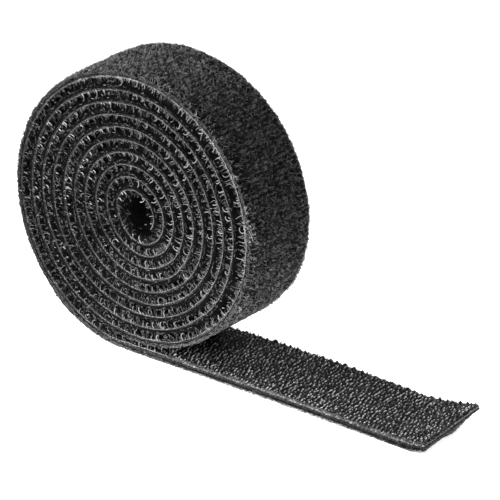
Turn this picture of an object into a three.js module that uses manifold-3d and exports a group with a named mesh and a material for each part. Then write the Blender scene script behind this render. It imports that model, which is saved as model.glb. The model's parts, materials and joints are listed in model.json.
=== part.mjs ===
// Double sided hook and loop tape, wound into a coreless roll with its free tail lying flat.
// Millimetres, +Z up. +X runs along the tail, +Y along the axis of the roll, away from its near face.
// The origin lies on the table, under the middle of the whole object's box.

import * as THREE from "three";
import { mergeGeometries, mergeVertices } from "three/addons/utils/BufferGeometryUtils.js";
import Module from "manifold-3d";

// Tape: the layers, from the hooks down to the pile
const TAPE_WIDTH = 20;
const HOOK_HEIGHT = 0.9;
const HOOK_GROUND = 0.35;
const BOND_FILM = 0.1;
const LOOP_FABRIC = 0.8;

// Roll: a spiral that runs inward from the tail, clockwise as seen from the near face
const EYE_RADIUS = 4;
const TURNS = 9.83;
const WINDING_GAP = 0.55;
const OVAL = 0.54;
const OVAL_ANGLE = THREE.MathUtils.degToRad(138);
const OVAL_RAMP_TURNS = 0.25;
const EYE_DRIFT_PER_TURN = 0.134;
const EYE_DRIFT_ANGLE = THREE.MathUtils.degToRad(258);
const OUTER_SLACK = 0.8;
const SLACK_START_TURN = 0.35;
const SLACK_FULL_TURN = 0.7;
const SLACK_EASE_TURN = 0.8;
const SLACK_END_TURN = 1;
const STEPS_PER_TURN = 24;

// Free ends: the tail bends at three lines, and the inner end at one
const TAIL_LENGTH = 76.3;
const TIP_LENGTH = 10.3;
const NEAR_CURL_RADIUS = 50;
const FAR_CURL_RADIUS = 15;
const TIP_CURL_STEPS = 5;
const FLEX_LIMIT = THREE.MathUtils.degToRad(40);
const FLEX_GAP = 0.3;
const PEEL_CLEARANCE = 5.8;
const INNER_END_ANGLE = THREE.MathUtils.degToRad(60);

// Hooks: bent strands that stand on the hook ground, in rows across the tape
const HOOK_THICKNESS = 0.36;
const HOOK_REACH = 0.55;
const HOOK_SINK = 0.2;
const HOOK_SIDES = 3;
const HOOK_BEND_ANGLE = THREE.MathUtils.degToRad(60);
const HOOK_EDGE_MARGIN = 0.9;
const HOOK_END_MARGIN = 1.3;
const TAIL_HOOK_COLUMNS = 5;
const TAIL_ROW_PITCH = 3.6;
const ROLL_HOOK_COLUMNS = 2;
const ROLL_ROW_PITCH = 11.4;

// Sizes that follow from those
const BACKING = BOND_FILM + LOOP_FABRIC;
const TURN_PITCH = HOOK_HEIGHT + HOOK_GROUND + BACKING + WINDING_GAP;
const FULL_TURN = 2 * Math.PI;
const DATUM_RADIUS = EYE_RADIUS + TURN_PITCH * TURNS;
const ROLL_HEIGHT = DATUM_RADIUS + BACKING;
const ROLL_END = TURNS * FULL_TURN;
const INNER_FLEX = ROLL_END - INNER_END_ANGLE;
const FIRST_FLEX = (DATUM_RADIUS + PEEL_CLEARANCE) * Math.tan(FLEX_LIMIT / 2);
const LAST_FLEX = TAIL_LENGTH - TIP_LENGTH;
const MIDDLE_FLEX = (FIRST_FLEX + LAST_FLEX) / 2;

// Layers, as heights above the face where the hook ground meets the bond film
const LAYERS = {
  hook_tape: { low: 0, high: HOOK_GROUND, colour: 0x1a1a1d, roughness: 0.5 },
  bond_film: { low: -BOND_FILM, high: 0, colour: 0x0c0c0e, roughness: 0.35 },
  loop_tape: { low: -BACKING, high: -BOND_FILM, colour: 0x202023, roughness: 0.95 },
};

const wasm = await Module();
wasm.setup();

// The datum line's distance from the roll's axis, at an angle counted inward from the tail
function datumRadius(angle) {
  const turns = angle / FULL_TURN;
  const ramp = THREE.MathUtils.smoothstep(turns, 0, OVAL_RAMP_TURNS);
  const oval = ramp * OVAL * Math.cos(2 * (angle - OVAL_ANGLE));
  const drift = turns * EYE_DRIFT_PER_TURN * Math.cos(angle - EYE_DRIFT_ANGLE);
  const loosened = THREE.MathUtils.smoothstep(turns, SLACK_START_TURN, SLACK_FULL_TURN);
  const tightened = THREE.MathUtils.smoothstep(turns, SLACK_EASE_TURN, SLACK_END_TURN);
  const slack = OUTER_SLACK * (loosened - tightened);
  return DATUM_RADIUS - TURN_PITCH * turns + oval + drift + slack;
}

// A station is a point of the datum line, in X and Z, with the direction towards the hooks
function rollStation(angle) {
  const inward = new THREE.Vector2(Math.sin(angle), Math.cos(angle));
  const axis = new THREE.Vector2(0, ROLL_HEIGHT);
  return { point: axis.addScaledVector(inward, -datumRadius(angle)), up: inward };
}

function tailStation(x) {
  return { point: new THREE.Vector2(x, BACKING), up: new THREE.Vector2(0, 1) };
}

function tipStation(angle, radius) {
  const up = new THREE.Vector2(-Math.sin(angle), Math.cos(angle));
  const centre = new THREE.Vector2(LAST_FLEX + FLEX_GAP / 2, BACKING + radius);
  return { point: centre.addScaledVector(up, -radius), up };
}

// Roll stations between two angles, at whole steps of the turn and at both ends
function rollStations(from, to) {
  const step = FULL_TURN / STEPS_PER_TURN;
  const stations = [rollStation(from)];
  for (let index = Math.floor(from / step) + 1; index * step < to; index += 1) {
    stations.push(rollStation(index * step));
  }
  stations.push(rollStation(to));
  return stations;
}

// The tip curls up more at its far edge than at its near one
function tipStations(radius) {
  const sweep = (TIP_LENGTH - FLEX_GAP / 2) / radius;
  const stations = [];
  for (let index = TIP_CURL_STEPS; index >= 0; index -= 1) {
    stations.push(tipStation((sweep * index) / TIP_CURL_STEPS, radius));
  }
  return stations;
}

// The run of stations at a share of the width, between the near edge's and the far edge's
function runAcross(nearRun, farRun, share) {
  return nearRun.map((station, index) => ({
    point: station.point.clone().lerp(farRun[index].point, share),
    up: station.up.clone().lerp(farRun[index].up, share).normalize(),
  }));
}

function raised(station, height) {
  return station.point.clone().addScaledVector(station.up, height);
}

// Closed skin over rings of as many points each, with flat ends or a pointed last ring. The last side
// is split the other way, so that a strip's low face matches the high face of the layer below it.
function skin(rings) {
  const positions = rings.flat().flatMap((point) => point.toArray());
  const size = rings[0].length;
  const triangles = [];
  for (let corner = 1; corner < size - 1; corner += 1) {
    triangles.push(0, corner + 1, corner);
  }
  for (let ring = 0; ring < rings.length - 1; ring += 1) {
    const pointed = rings[ring + 1].length === 1;
    for (let corner = 0; corner < size; corner += 1) {
      const here = ring * size + corner;
      const beside = ring * size + ((corner + 1) % size);
      if (pointed) {
        triangles.push(here, beside, (ring + 1) * size);
      } else if (corner === size - 1) {
        triangles.push(here, beside, here + size, beside, beside + size, here + size);
      } else {
        triangles.push(here, beside, beside + size, here, beside + size, here + size);
      }
    }
  }
  if (rings.at(-1).length > 1) {
    const last = (rings.length - 1) * size;
    for (let corner = 1; corner < size - 1; corner += 1) {
      triangles.push(last, last + corner, last + corner + 1);
    }
  }
  const geometry = new THREE.BufferGeometry();
  geometry.setAttribute("position", new THREE.Float32BufferAttribute(positions, 3));
  geometry.setIndex(triangles);
  return geometry;
}

// One layer of the tape along a run of stations, which may differ at the far edge
function strip(nearRun, farRun, layer) {
  const half = TAPE_WIDTH / 2;
  const rings = nearRun.map((station, index) => {
    const nearLow = raised(station, layer.low);
    const nearHigh = raised(station, layer.high);
    const farLow = raised(farRun[index], layer.low);
    const farHigh = raised(farRun[index], layer.high);
    return [
      new THREE.Vector3(nearLow.x, -half, nearLow.y),
      new THREE.Vector3(nearHigh.x, -half, nearHigh.y),
      new THREE.Vector3(farHigh.x, half, farHigh.y),
      new THREE.Vector3(farLow.x, half, farLow.y),
    ];
  });
  return skin(rings);
}

// One hook: a stem that stands on the ground, bent over along the tape to a point
function hook(station, along, y) {
  const radius = HOOK_THICKNESS / 2;
  const stemTop = HOOK_GROUND + HOOK_HEIGHT - radius;
  const bend = along.clone().multiplyScalar(Math.cos(HOOK_BEND_ANGLE));
  bend.addScaledVector(station.up, -Math.sin(HOOK_BEND_ANGLE));
  const place = (centre, towards, angle) => {
    const flat = centre.clone().addScaledVector(towards, radius * Math.cos(angle));
    return new THREE.Vector3(flat.x, y - radius * Math.sin(angle), flat.y);
  };
  const ring = (centre, towards) => {
    const points = [];
    for (let side = 0; side < HOOK_SIDES; side += 1) {
      points.push(place(centre, towards, (FULL_TURN * side) / HOOK_SIDES));
    }
    return points;
  };
  const foot = raised(station, HOOK_GROUND - HOOK_SINK);
  const top = raised(station, stemTop).addScaledVector(along, radius);
  const point = raised(station, stemTop - radius).addScaledVector(along, HOOK_REACH + radius);
  const tip = new THREE.Vector3(point.x, y, point.y);
  return skin([ring(foot, along), ring(top, bend), [tip]]);
}

// One column of hooks along a run of stations, every pitch
function hookColumn(stations, pitch, y) {
  const lengths = stations.slice(1).map((station, index) => station.point.distanceTo(stations[index].point));
  const whole = lengths.reduce((sum, length) => sum + length, 0);
  const rows = Math.max(1, Math.floor((whole - 2 * HOOK_END_MARGIN) / pitch) + 1);
  const first = (whole - (rows - 1) * pitch) / 2;
  const strands = [];
  for (let row = 0; row < rows; row += 1) {
    let rest = first + row * pitch;
    let span = 0;
    while (rest > lengths[span] && span < lengths.length - 1) {
      rest -= lengths[span];
      span += 1;
    }
    const point = stations[span].point.clone().lerp(stations[span + 1].point, rest / lengths[span]);
    const along = stations[span + 1].point.clone().sub(stations[span].point).normalize();
    const up = new THREE.Vector2(along.y, -along.x);
    strands.push(hook({ point, up }, along, y));
  }
  return strands;
}

// Hooks over the width of a run of stations, with as many columns between the margins
function hooks(nearRun, farRun, pitch, columns) {
  const strands = [];
  for (let column = 0; column < columns; column += 1) {
    const inside = (TAPE_WIDTH - 2 * HOOK_EDGE_MARGIN) / TAPE_WIDTH;
    const share = columns > 1 ? 0.5 + inside * (column / (columns - 1) - 0.5) : 0.5;
    strands.push(...hookColumn(runAcross(nearRun, farRun, share), pitch, TAPE_WIDTH * (share - 0.5)));
  }
  return strands;
}

function toSolid(geometry) {
  const merged = mergeVertices(geometry);
  return new wasm.Manifold(
    new wasm.Mesh({
      numProp: 3,
      vertProperties: new Float32Array(merged.attributes.position.array),
      triVerts: new Uint32Array(merged.index.array),
    }),
  );
}

// The hook ground with its hooks fused on
function hookTape(nearRun, farRun, strands) {
  let solid = toSolid(strip(nearRun, farRun, LAYERS.hook_tape));
  if (strands.length > 0) {
    solid = solid.add(toSolid(mergeGeometries(strands)));
  }
  const mesh = solid.getMesh();
  const geometry = new THREE.BufferGeometry();
  geometry.setAttribute("position", new THREE.BufferAttribute(mesh.vertProperties, mesh.numProp));
  geometry.setIndex(new THREE.BufferAttribute(mesh.triVerts, 1));
  return geometry;
}

function layerMesh(name, layer, geometry) {
  const material = new THREE.MeshStandardMaterial({
    color: layer.colour,
    roughness: layer.roughness,
    metalness: 0,
  });
  geometry.computeVertexNormals();
  const mesh = new THREE.Mesh(geometry, material);
  mesh.name = name;
  return mesh;
}

// One body of the tape: its hook tape, bond film and loop tape
function tapeBody(name, strands, nearRun, farRun = nearRun) {
  const body = new THREE.Group();
  body.add(layerMesh(`${name}_hook_tape`, LAYERS.hook_tape, hookTape(nearRun, farRun, strands)));
  body.add(layerMesh(`${name}_bond_film`, LAYERS.bond_film, strip(nearRun, farRun, LAYERS.bond_film)));
  body.add(layerMesh(`${name}_loop_tape`, LAYERS.loop_tape, strip(nearRun, farRun, LAYERS.loop_tape)));
  return body;
}

// The least distance from the hook tips of a turn to the pile of the next turn in
function leastSelfGap(stations) {
  const tips = stations.map((station) => raised(station, HOOK_GROUND + HOOK_HEIGHT));
  const pile = stations.map((station) => raised(station, -BACKING));
  let least = Infinity;
  for (let outer = 0; outer < stations.length; outer += 1) {
    for (let inner = outer + STEPS_PER_TURN / 2; inner < stations.length; inner += 1) {
      least = Math.min(least, tips[outer].distanceTo(pile[inner]));
    }
  }
  return least;
}

// The runs of stations, one for each body, all inward along the tape, with a gap at each line
// where it bends
const half = FLEX_GAP / 2;
const innerGap = FLEX_GAP / datumRadius(INNER_FLEX);
const rootRun = [tailStation(FIRST_FLEX - half), tailStation(0)];
const spiralRun = rollStations(0, INNER_FLEX - innerGap / 2);
const rollRun = [rootRun[0], ...spiralRun];
const innerRun = rollStations(INNER_FLEX + innerGap / 2, ROLL_END);
const firstRun = [tailStation(MIDDLE_FLEX - half), tailStation(FIRST_FLEX + half)];
const middleRun = [tailStation(LAST_FLEX - half), tailStation(MIDDLE_FLEX + half)];
const nearTipRun = tipStations(NEAR_CURL_RADIUS);
const farTipRun = tipStations(FAR_CURL_RADIUS);

const tailHooks = (nearRun, farRun = nearRun) => hooks(nearRun, farRun, TAIL_ROW_PITCH, TAIL_HOOK_COLUMNS);
const spiralHooks = hooks(spiralRun, spiralRun, ROLL_ROW_PITCH, ROLL_HOOK_COLUMNS);

const tape = new THREE.Group();
tape.add(tapeBody("roll", [...tailHooks(rootRun), ...spiralHooks], rollRun));
tape.add(tapeBody("inner_end", [], innerRun));
tape.add(tapeBody("tail_near", tailHooks(firstRun), firstRun));
tape.add(tapeBody("tail_middle", tailHooks(middleRun), middleRun));
tape.add(tapeBody("tail_tip", tailHooks(nearTipRun, farTipRun), nearTipRun, farTipRun));

// The whole object stands with the middle of its box over the origin
const extent = new THREE.Box3().setFromObject(tape);
tape.position.x = -(extent.min.x + extent.max.x) / 2;

console.log(`Least gap between turns: ${leastSelfGap(spiralRun).toFixed(3)} mm`);

export default tape;
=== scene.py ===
"""Looks of a roll of double sided hook and loop tape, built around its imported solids.

Lengths are metres, in the frame of the solids: +X runs along the tail, +Y along the axis of the
roll and +Z is up. A place on the tape is a length s from its cut end inward, a distance y across
it and a height h over the line where the hook ground meets the bond film.
"""

from __future__ import annotations

import json
import logging
import math
from collections.abc import Iterator
from dataclasses import dataclass, fields, replace
from enum import Enum, IntEnum
from functools import cached_property
from typing import ClassVar

import bpy
import numpy as np
from mathutils import Matrix, Vector


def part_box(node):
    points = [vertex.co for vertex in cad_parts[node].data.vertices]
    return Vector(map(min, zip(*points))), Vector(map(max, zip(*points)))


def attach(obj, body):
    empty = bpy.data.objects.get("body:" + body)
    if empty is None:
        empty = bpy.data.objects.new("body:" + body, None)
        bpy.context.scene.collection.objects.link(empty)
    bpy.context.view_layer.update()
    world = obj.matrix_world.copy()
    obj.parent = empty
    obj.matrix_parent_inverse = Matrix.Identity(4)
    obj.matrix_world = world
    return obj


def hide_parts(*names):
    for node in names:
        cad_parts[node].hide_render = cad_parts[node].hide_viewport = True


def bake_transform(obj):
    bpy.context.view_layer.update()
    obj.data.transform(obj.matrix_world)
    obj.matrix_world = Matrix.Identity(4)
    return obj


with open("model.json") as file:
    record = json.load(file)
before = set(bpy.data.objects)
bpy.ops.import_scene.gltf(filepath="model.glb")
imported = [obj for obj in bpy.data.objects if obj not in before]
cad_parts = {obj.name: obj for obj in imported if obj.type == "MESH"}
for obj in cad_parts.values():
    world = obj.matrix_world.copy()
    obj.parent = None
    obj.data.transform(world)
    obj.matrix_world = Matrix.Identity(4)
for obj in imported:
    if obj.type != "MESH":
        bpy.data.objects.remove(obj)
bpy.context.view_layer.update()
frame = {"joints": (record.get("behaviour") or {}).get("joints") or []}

MM = 0.001
FULL_TURN = 2 * math.pi
PLACE_ATTRIBUTE = "tape_place"
MOST_TRIANGLES = 180_000
IMAGE_PIXELS = 500
VIEW_AHEAD = 23.06 * MM
VIEW_HEIGHT = 26.523 * MM
COLUMN_MIX = 374761393
ROW_MIX = 668265263
SEED_MIX = 362437
LAST_MIX = 1274126177
WORD = 0xFFFFFFFF
HALF_WORD = 0xFFFF

Array = np.ndarray
Colour = tuple[float, float, float]
Point = tuple[float, float, float]

log = logging.getLogger("tape_roll")


class Slot(Enum):
    """Material slots of the record."""

    HOOK_TAPE = "hook_tape"
    BOND_FILM = "bond_film"
    LOOP_TAPE = "loop_tape"


class Lie(Enum):
    """How a stretch of the tape lies."""

    FLAT = "laid"
    WOUND = "folded"


class Seed(IntEnum):
    """Picks the random values of each use."""

    CORD_SIDEWAYS = 0
    STITCHES = 5
    CORD_FINE = 7
    CORD_SHADE = 11
    CORD_COARSE = 13
    CORD_FADE = 19
    FILM = 23
    CORD_SWELL = 31
    HOOKS = 41
    SCALLOP_WANDER = 43
    SCALLOP_HEIGHT = 47
    RIM_PATCH = 53
    GROUND_YARN = 59
    CUT_THREADS = 67
    END_HANG = 77
    FRAYS = 91
    SPECKS = 131
    PILE = 173


def smoothstep(value: Array, low: float, high: float) -> Array:
    """Rises smoothly from 0 at low to 1 at high."""
    share = np.clip((value - low) / (high - low), 0.0, 1.0)
    return share * share * (3.0 - 2.0 * share)


def unit(vectors: Array) -> Array:
    """Vectors of length one along the last axis."""
    return vectors / np.maximum(np.linalg.norm(vectors, axis=-1, keepdims=True), 1e-12)


def lattice(column: Array, row: Array, seed: int) -> Array:
    """Random values from 0 to 1, one for each whole column and row.

    Args:
        column: Whole numbers along the tape.
        row: Whole numbers across it.
        seed: Picks one set of values among many.

    Returns:
        The values.
    """
    mixed = (column * COLUMN_MIX + row * ROW_MIX + seed * SEED_MIX) & WORD
    mixed = ((mixed ^ (mixed >> 13)) * LAST_MIX) & WORD
    return ((mixed ^ (mixed >> 16)) & HALF_WORD) / HALF_WORD


def clumps(s: Array, y: Array, size: float, seed: int) -> Array:
    """Smooth random relief from -1 to 1 over the tape.

    Args:
        s: Lengths along the tape.
        y: Distances across it.
        size: How far apart the clumps lie.
        seed: Picks one relief among many.

    Returns:
        The relief at each place.
    """
    u, v = np.broadcast_arrays(np.asarray(s) / size, np.asarray(y) / size)
    column, row = np.floor(u).astype(np.int64), np.floor(v).astype(np.int64)
    across, up = smoothstep(u - column, 0.0, 1.0), smoothstep(v - row, 0.0, 1.0)
    lower = lattice(column, row, seed) * (1 - across) + lattice(column + 1, row, seed) * across
    upper = lattice(column, row + 1, seed) * (1 - across) + lattice(column + 1, row + 1, seed) * across
    return 2.0 * (lower * (1 - up) + upper * up) - 1.0


def ripples(s: Array, size: float, seed: int) -> Array:
    """Smooth random values from -1 to 1 along the tape."""
    return clumps(s, 0 * s, size, seed)


def steps(count: int) -> Array:
    """Even shares from 0 to 1, as one row."""
    return np.linspace(0, 1, count)[None, :]


def arch(t: Array) -> Array:
    """Rises from 0 at both ends of a strand to 1 in its middle."""
    return 4 * t * (1 - t)


def by_turns(count: int) -> Array:
    """Sides of the tape, near and far by turns."""
    return np.where(np.arange(count) % 2 == 0, -1.0, 1.0)


@dataclass(frozen=True)
class TapeSizes:
    """Sizes of the tape, its roll and its free ends.

    They are those of the solids, apart from the curl, the skew and the arch of the tail.
    """

    width: float
    hook_height: float = 0.9 * MM
    hook_ground: float = 0.35 * MM
    bond_film: float = 0.1 * MM
    loop_fabric: float = 0.8 * MM
    eye_radius: float = 4.0 * MM
    turns: float = 9.83
    winding_gap: float = 0.55 * MM
    oval: float = 0.54 * MM
    oval_angle: float = math.radians(138)
    oval_ramp_turns: float = 0.25
    eye_drift_per_turn: float = 0.134 * MM
    eye_drift_angle: float = math.radians(258)
    outer_slack: float = 0.8 * MM
    slack_turns: tuple[float, float, float, float] = (0.35, 0.7, 0.8, 1.0)
    tail_length: float = 76.3 * MM
    tip_length: float = 10.3 * MM
    near_curl_length: float = 8.0 * MM
    far_curl_length: float = 16.0 * MM
    near_curl_radius: float = 40.0 * MM
    far_curl_radius: float = 45.0 * MM
    tail_skew: float = 0.35 * MM
    near_arch: float = 0.2 * MM
    far_arch: float = 0.6 * MM
    inner_end_angle: float = math.radians(60)

    @property
    def half_width(self) -> float:
        """Half the width of the tape."""
        return self.width / 2

    @property
    def backing(self) -> float:
        """Depth of the bond film and the loop fabric together."""
        return self.bond_film + self.loop_fabric

    @property
    def turn_pitch(self) -> float:
        """Distance from one turn to the next."""
        return self.hook_height + self.hook_ground + self.backing + self.winding_gap

    @property
    def datum_radius(self) -> float:
        """Radius of the datum line where the tail begins."""
        return self.eye_radius + self.turn_pitch * self.turns


class TapePath:
    """The line where the hook ground meets the bond film, from the cut end inward."""

    STEPS_PER_RADIAN = 60
    TAIL_STEPS = 80
    SPARE = 2.0 * MM
    CUT = 0.25 * MM
    TABLE_CLEARANCE = 0.01 * MM

    def __init__(self, sizes: TapeSizes, axis_x: float) -> None:
        """Lays the line out.

        Args:
            sizes: The tape's sizes.
            axis_x: Where the axis of the roll lies along X.
        """
        self.sizes = sizes
        self.axis_x = axis_x
        runs = [self._tail(), self._roll()]
        self.x, self.z, self.lean = (np.concatenate(parts) for parts in zip(*runs, strict=True))
        gaps = np.hypot(np.diff(self.x), np.diff(self.z))
        self.length = np.concatenate([[0.0], np.cumsum(gaps)])
        self._lengthen()

    def _tail(self) -> tuple[Array, Array, Array]:
        """The tail without the curl of its tip, as places and leans."""
        x = np.linspace(self.sizes.tail_length, 0, self.TAIL_STEPS, endpoint=False)
        return x, np.full_like(x, self.sizes.backing), np.zeros_like(x)

    def _roll(self) -> tuple[Array, Array, Array]:
        """The spiral, as places and leans.

        Returns:
            Places along X and up Z, and leans.
        """
        sizes = self.sizes
        count = int(sizes.turns * FULL_TURN * self.STEPS_PER_RADIAN)
        angle = np.linspace(0, sizes.turns * FULL_TURN, count)
        turns = angle / FULL_TURN
        ramp = smoothstep(turns, 0, sizes.oval_ramp_turns)
        oval = ramp * sizes.oval * np.cos(2 * (angle - sizes.oval_angle))
        drift = turns * sizes.eye_drift_per_turn * np.cos(angle - sizes.eye_drift_angle)
        radius = sizes.datum_radius - sizes.turn_pitch * turns + oval + drift + self.slack(turns)
        height = sizes.datum_radius + sizes.backing
        return -radius * np.sin(angle), height - radius * np.cos(angle), angle

    def slack(self, turns: Array) -> Array:
        """How far the outer turn stands off the next one."""
        rise, full, ease, end = self.sizes.slack_turns
        return self.sizes.outer_slack * (smoothstep(turns, rise, full) - smoothstep(turns, ease, end))

    def _lengthen(self) -> None:
        """Adds a straight spare stretch at both ends, for what stands proud of them."""
        self.whole = float(self.length[-1])
        for end, sign in ((0, -1.0), (-1, 1.0)):
            lean = self.lean[end]
            step = sign * self.SPARE
            spare = (
                (self.x, self.x[end] - step * math.cos(lean)),
                (self.z, self.z[end] + step * math.sin(lean)),
                (self.lean, lean),
                (self.length, self.length[end] + step),
            )
            grown = [np.append(line, value) if end else np.insert(line, 0, value) for line, value in spare]
            self.x, self.z, self.lean, self.length = grown

    def at_tail(self, x: float) -> float:
        """The length at a distance x from the axis of the roll, on the flat tail."""
        return self.sizes.tail_length - x

    def at_angle(self, angle: float) -> float:
        """The length at an angle of the roll, counted inward from the tail."""
        return float(np.interp(angle, self.lean[:-1], self.length[:-1]))

    def turns_at(self, s: Array) -> Array:
        """How many turns in from the tail each length lies."""
        return np.interp(s, self.length, self.lean) / FULL_TURN

    def _arched(self, s: Array) -> Array:
        """From 0 at both ends of the tail to 1 in its middle."""
        return np.sin(math.pi * np.clip(s / self.sizes.tail_length, 0.0, 1.0)) ** 2

    def place(self, s: Array, y: Array, h: Array) -> Array:
        """Points in the frame of the solids.

        Args:
            s: Lengths along the tape.
            y: Distances across it.
            h: Heights over the datum line.

        Returns:
            The points, no lower than the table.
        """
        s, y, h = np.broadcast_arrays(s, y, h)
        sizes = self.sizes
        share = np.clip(y / sizes.width + 0.5, 0.0, 1.0)
        curl_length = (1 - share) * sizes.near_curl_length + share * sizes.far_curl_length
        curled = np.maximum(curl_length - s, 0.0)
        curl = (1 - share) / sizes.near_curl_radius + share / sizes.far_curl_radius
        turned = curl * curled
        lean = np.interp(s, self.length, self.lean) - turned
        x = np.interp(s, self.length, self.x) + np.sin(turned) / curl - curled
        rise = ((1 - share) * sizes.near_arch + share * sizes.far_arch) * self._arched(s)
        z = np.interp(s, self.length, self.z) + (1 - np.cos(turned)) / curl + rise
        x = self.axis_x + x + np.sin(lean) * h
        z = z + np.cos(lean) * h
        skewed = y - sizes.tail_skew * np.clip(1.0 - s / sizes.tail_length, 0.0, 1.0) ** 2
        return np.stack([x, skewed, np.maximum(z, self.TABLE_CLEARANCE)], axis=-1)


@dataclass(frozen=True)
class Bend:
    """A joint that a stretch of tape bends over."""

    parent: str
    child: str
    start: Point
    end: Point


@dataclass(frozen=True)
class Span:
    """A stretch of the tape, built as pieces of its own."""

    name: str
    start: float
    end: float
    lie: Lie
    bend: Bend | None = None

    @property
    def length(self) -> float:
        """Length of the stretch along the tape."""
        return self.end - self.start

    def samples(self, step: float) -> Array:
        """Even lengths along the stretch, about a step apart."""
        return np.linspace(self.start, self.end, max(2, round(self.length / step) + 1))

    def carry(self, piece: bpy.types.Object) -> None:
        """Makes a piece move with a stretch that has no bend; on a stretch over a bend it only fixes the
        piece where it lies.

        Args:
            piece: The piece.
        """
        if self.bend is None:
            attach(piece, self.name)
        else:
            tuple(self.bend.start)
            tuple(self.bend.end)
            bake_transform(piece)

    def node(self, slot: Slot) -> str:
        """The solid of one layer of the stretch."""
        return f"{self.name}_{slot.value}"


class MeshDraft:
    """Points and faces of one piece while it is built."""

    SHARP_ANGLE = math.radians(55)

    def __init__(self) -> None:
        """Starts with no points."""
        self.points: list[Array] = []
        self.places: list[Array] = []
        self.corners: list[Array] = []
        self.counts: list[Array] = []
        self.size = 0

    def add(self, points: Array, places: Array, faces: list[Array]) -> None:
        """Adds one closed form.

        Args:
            points: Its points.
            places: Length, distance across and shade of each point.
            faces: Blocks of faces, each with as many corners, as numbers of its own points.
        """
        for block in faces:
            self.corners.append((block + self.size).ravel())
            self.counts.append(np.full(len(block), block.shape[1]))
        self.points.append(points.reshape(-1, 3))
        self.places.append(places.reshape(-1, 3))
        self.size += len(self.points[-1])

    def make(self, name: str, material: bpy.types.Material) -> bpy.types.Object:
        """Makes the mesh and its object.

        Args:
            name: The piece's name.
            material: Its finish.

        Returns:
            The object, in the scene.
        """
        corners = np.concatenate(self.corners)
        counts = np.concatenate(self.counts)
        starts = np.concatenate([[0], np.cumsum(counts)[:-1]])
        mesh = bpy.data.meshes.new(name)
        mesh.vertices.add(self.size)
        mesh.vertices.foreach_set("co", np.concatenate(self.points).astype(np.float32).ravel())
        mesh.loops.add(len(corners))
        mesh.loops.foreach_set("vertex_index", corners.astype(np.int32))
        mesh.polygons.add(len(counts))
        mesh.polygons.foreach_set("loop_start", starts.astype(np.int32))
        mesh.update(calc_edges=True)
        mesh.polygons.foreach_set("use_smooth", np.ones(len(counts), bool))
        mesh.set_sharp_from_angle(angle=self.SHARP_ANGLE)
        place = mesh.attributes.new(PLACE_ATTRIBUTE, "FLOAT_VECTOR", "POINT")
        place.data.foreach_set("vector", np.concatenate(self.places).astype(np.float32).ravel())
        mesh.materials.append(material)
        piece = bpy.data.objects.new(name, mesh)
        bpy.context.scene.collection.objects.link(piece)
        return piece


def closed_strip(
    path: TapePath, s: Array, y: Array, low: Array, high: Array, shade: Array | float = 0.5
) -> tuple[Array, Array, list[Array]]:
    """A closed strip of the tape between two faces.

    Args:
        path: The line that the tape follows.
        s: Lengths of its rows.
        y: Distances across, for each column or for each row and column.
        low: Heights of the lower face.
        high: Heights of the upper face.
        shade: Shades of both faces.

    Returns:
        Points, places and faces.
    """
    along = np.asarray(s)[:, None]
    along, across, low, high, shade = np.broadcast_arrays(along, y, low, high, shade)
    rows, columns = along.shape
    points = np.concatenate([path.place(along, across, low), path.place(along, across, high)])
    places = np.tile(np.stack([along, across, shade], axis=-1), (2, 1, 1))
    under = np.arange(rows * columns).reshape(rows, columns)
    over = under + rows * columns
    faces = [
        quads(over[:-1, :-1], over[:-1, 1:], over[1:, 1:], over[1:, :-1]),
        quads(under[:-1, :-1], under[1:, :-1], under[1:, 1:], under[:-1, 1:]),
        quads(under[:-1, 0], over[:-1, 0], over[1:, 0], under[1:, 0]),
        quads(under[1:, -1], over[1:, -1], over[:-1, -1], under[:-1, -1]),
        quads(under[0, :-1], under[0, 1:], over[0, 1:], over[0, :-1]),
        quads(over[-1, :-1], over[-1, 1:], under[-1, 1:], under[-1, :-1]),
    ]
    return points, places, faces


def quads(*corners: Array) -> Array:
    """Faces of four corners, from arrays of point numbers."""
    return np.stack([corner.ravel() for corner in corners], axis=-1)


def tubes(
    centres: Array, radii: Array, sides: int, binormal: Array | None = None
) -> tuple[Array, list[Array]]:
    """Closed round tubes along lines of as many points each.

    Args:
        centres: Points of the lines, by tube and point.
        radii: Radius at each of them.
        sides: Sides of the section.
        binormal: A direction across each line, or None for the one that its bend gives.

    Returns:
        Points and faces.
    """
    count, length = centres.shape[:2]
    tangent = unit(np.gradient(centres, axis=1))
    if binormal is None:
        first, middle, last = centres[:, 0], centres[:, length // 2], centres[:, -1]
        binormal = np.cross(middle - first, last - first)
    side = unit(np.cross(unit(binormal).reshape(-1, 1, 3), tangent))
    other = np.cross(tangent, side)
    angle = FULL_TURN * np.arange(sides) / sides
    turned = np.cos(angle)[:, None] * side[:, :, None, :] + np.sin(angle)[:, None] * other[:, :, None, :]
    reach = np.broadcast_to(radii, (count, length))[:, :, None, None]
    points = centres[:, :, None, :] + reach * turned
    here = np.arange(count * length * sides).reshape(count, length, sides)
    beside = np.roll(here, -1, axis=2)
    walls = quads(here[:, :-1], beside[:, :-1], beside[:, 1:], here[:, 1:])
    caps = np.concatenate([here[:, 0, ::-1], here[:, -1]])
    return points.reshape(-1, 3), [walls, caps]


def strand_places(s: Array, y: Array, shade: Array, sides: int) -> Array:
    """Places of the points of strands, with a shade at each point along them."""
    along, across, shade = np.broadcast_arrays(s, y, shade)
    return np.repeat(np.stack([along, across, shade], axis=-1).reshape(-1, 3), sides, axis=0)


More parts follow.
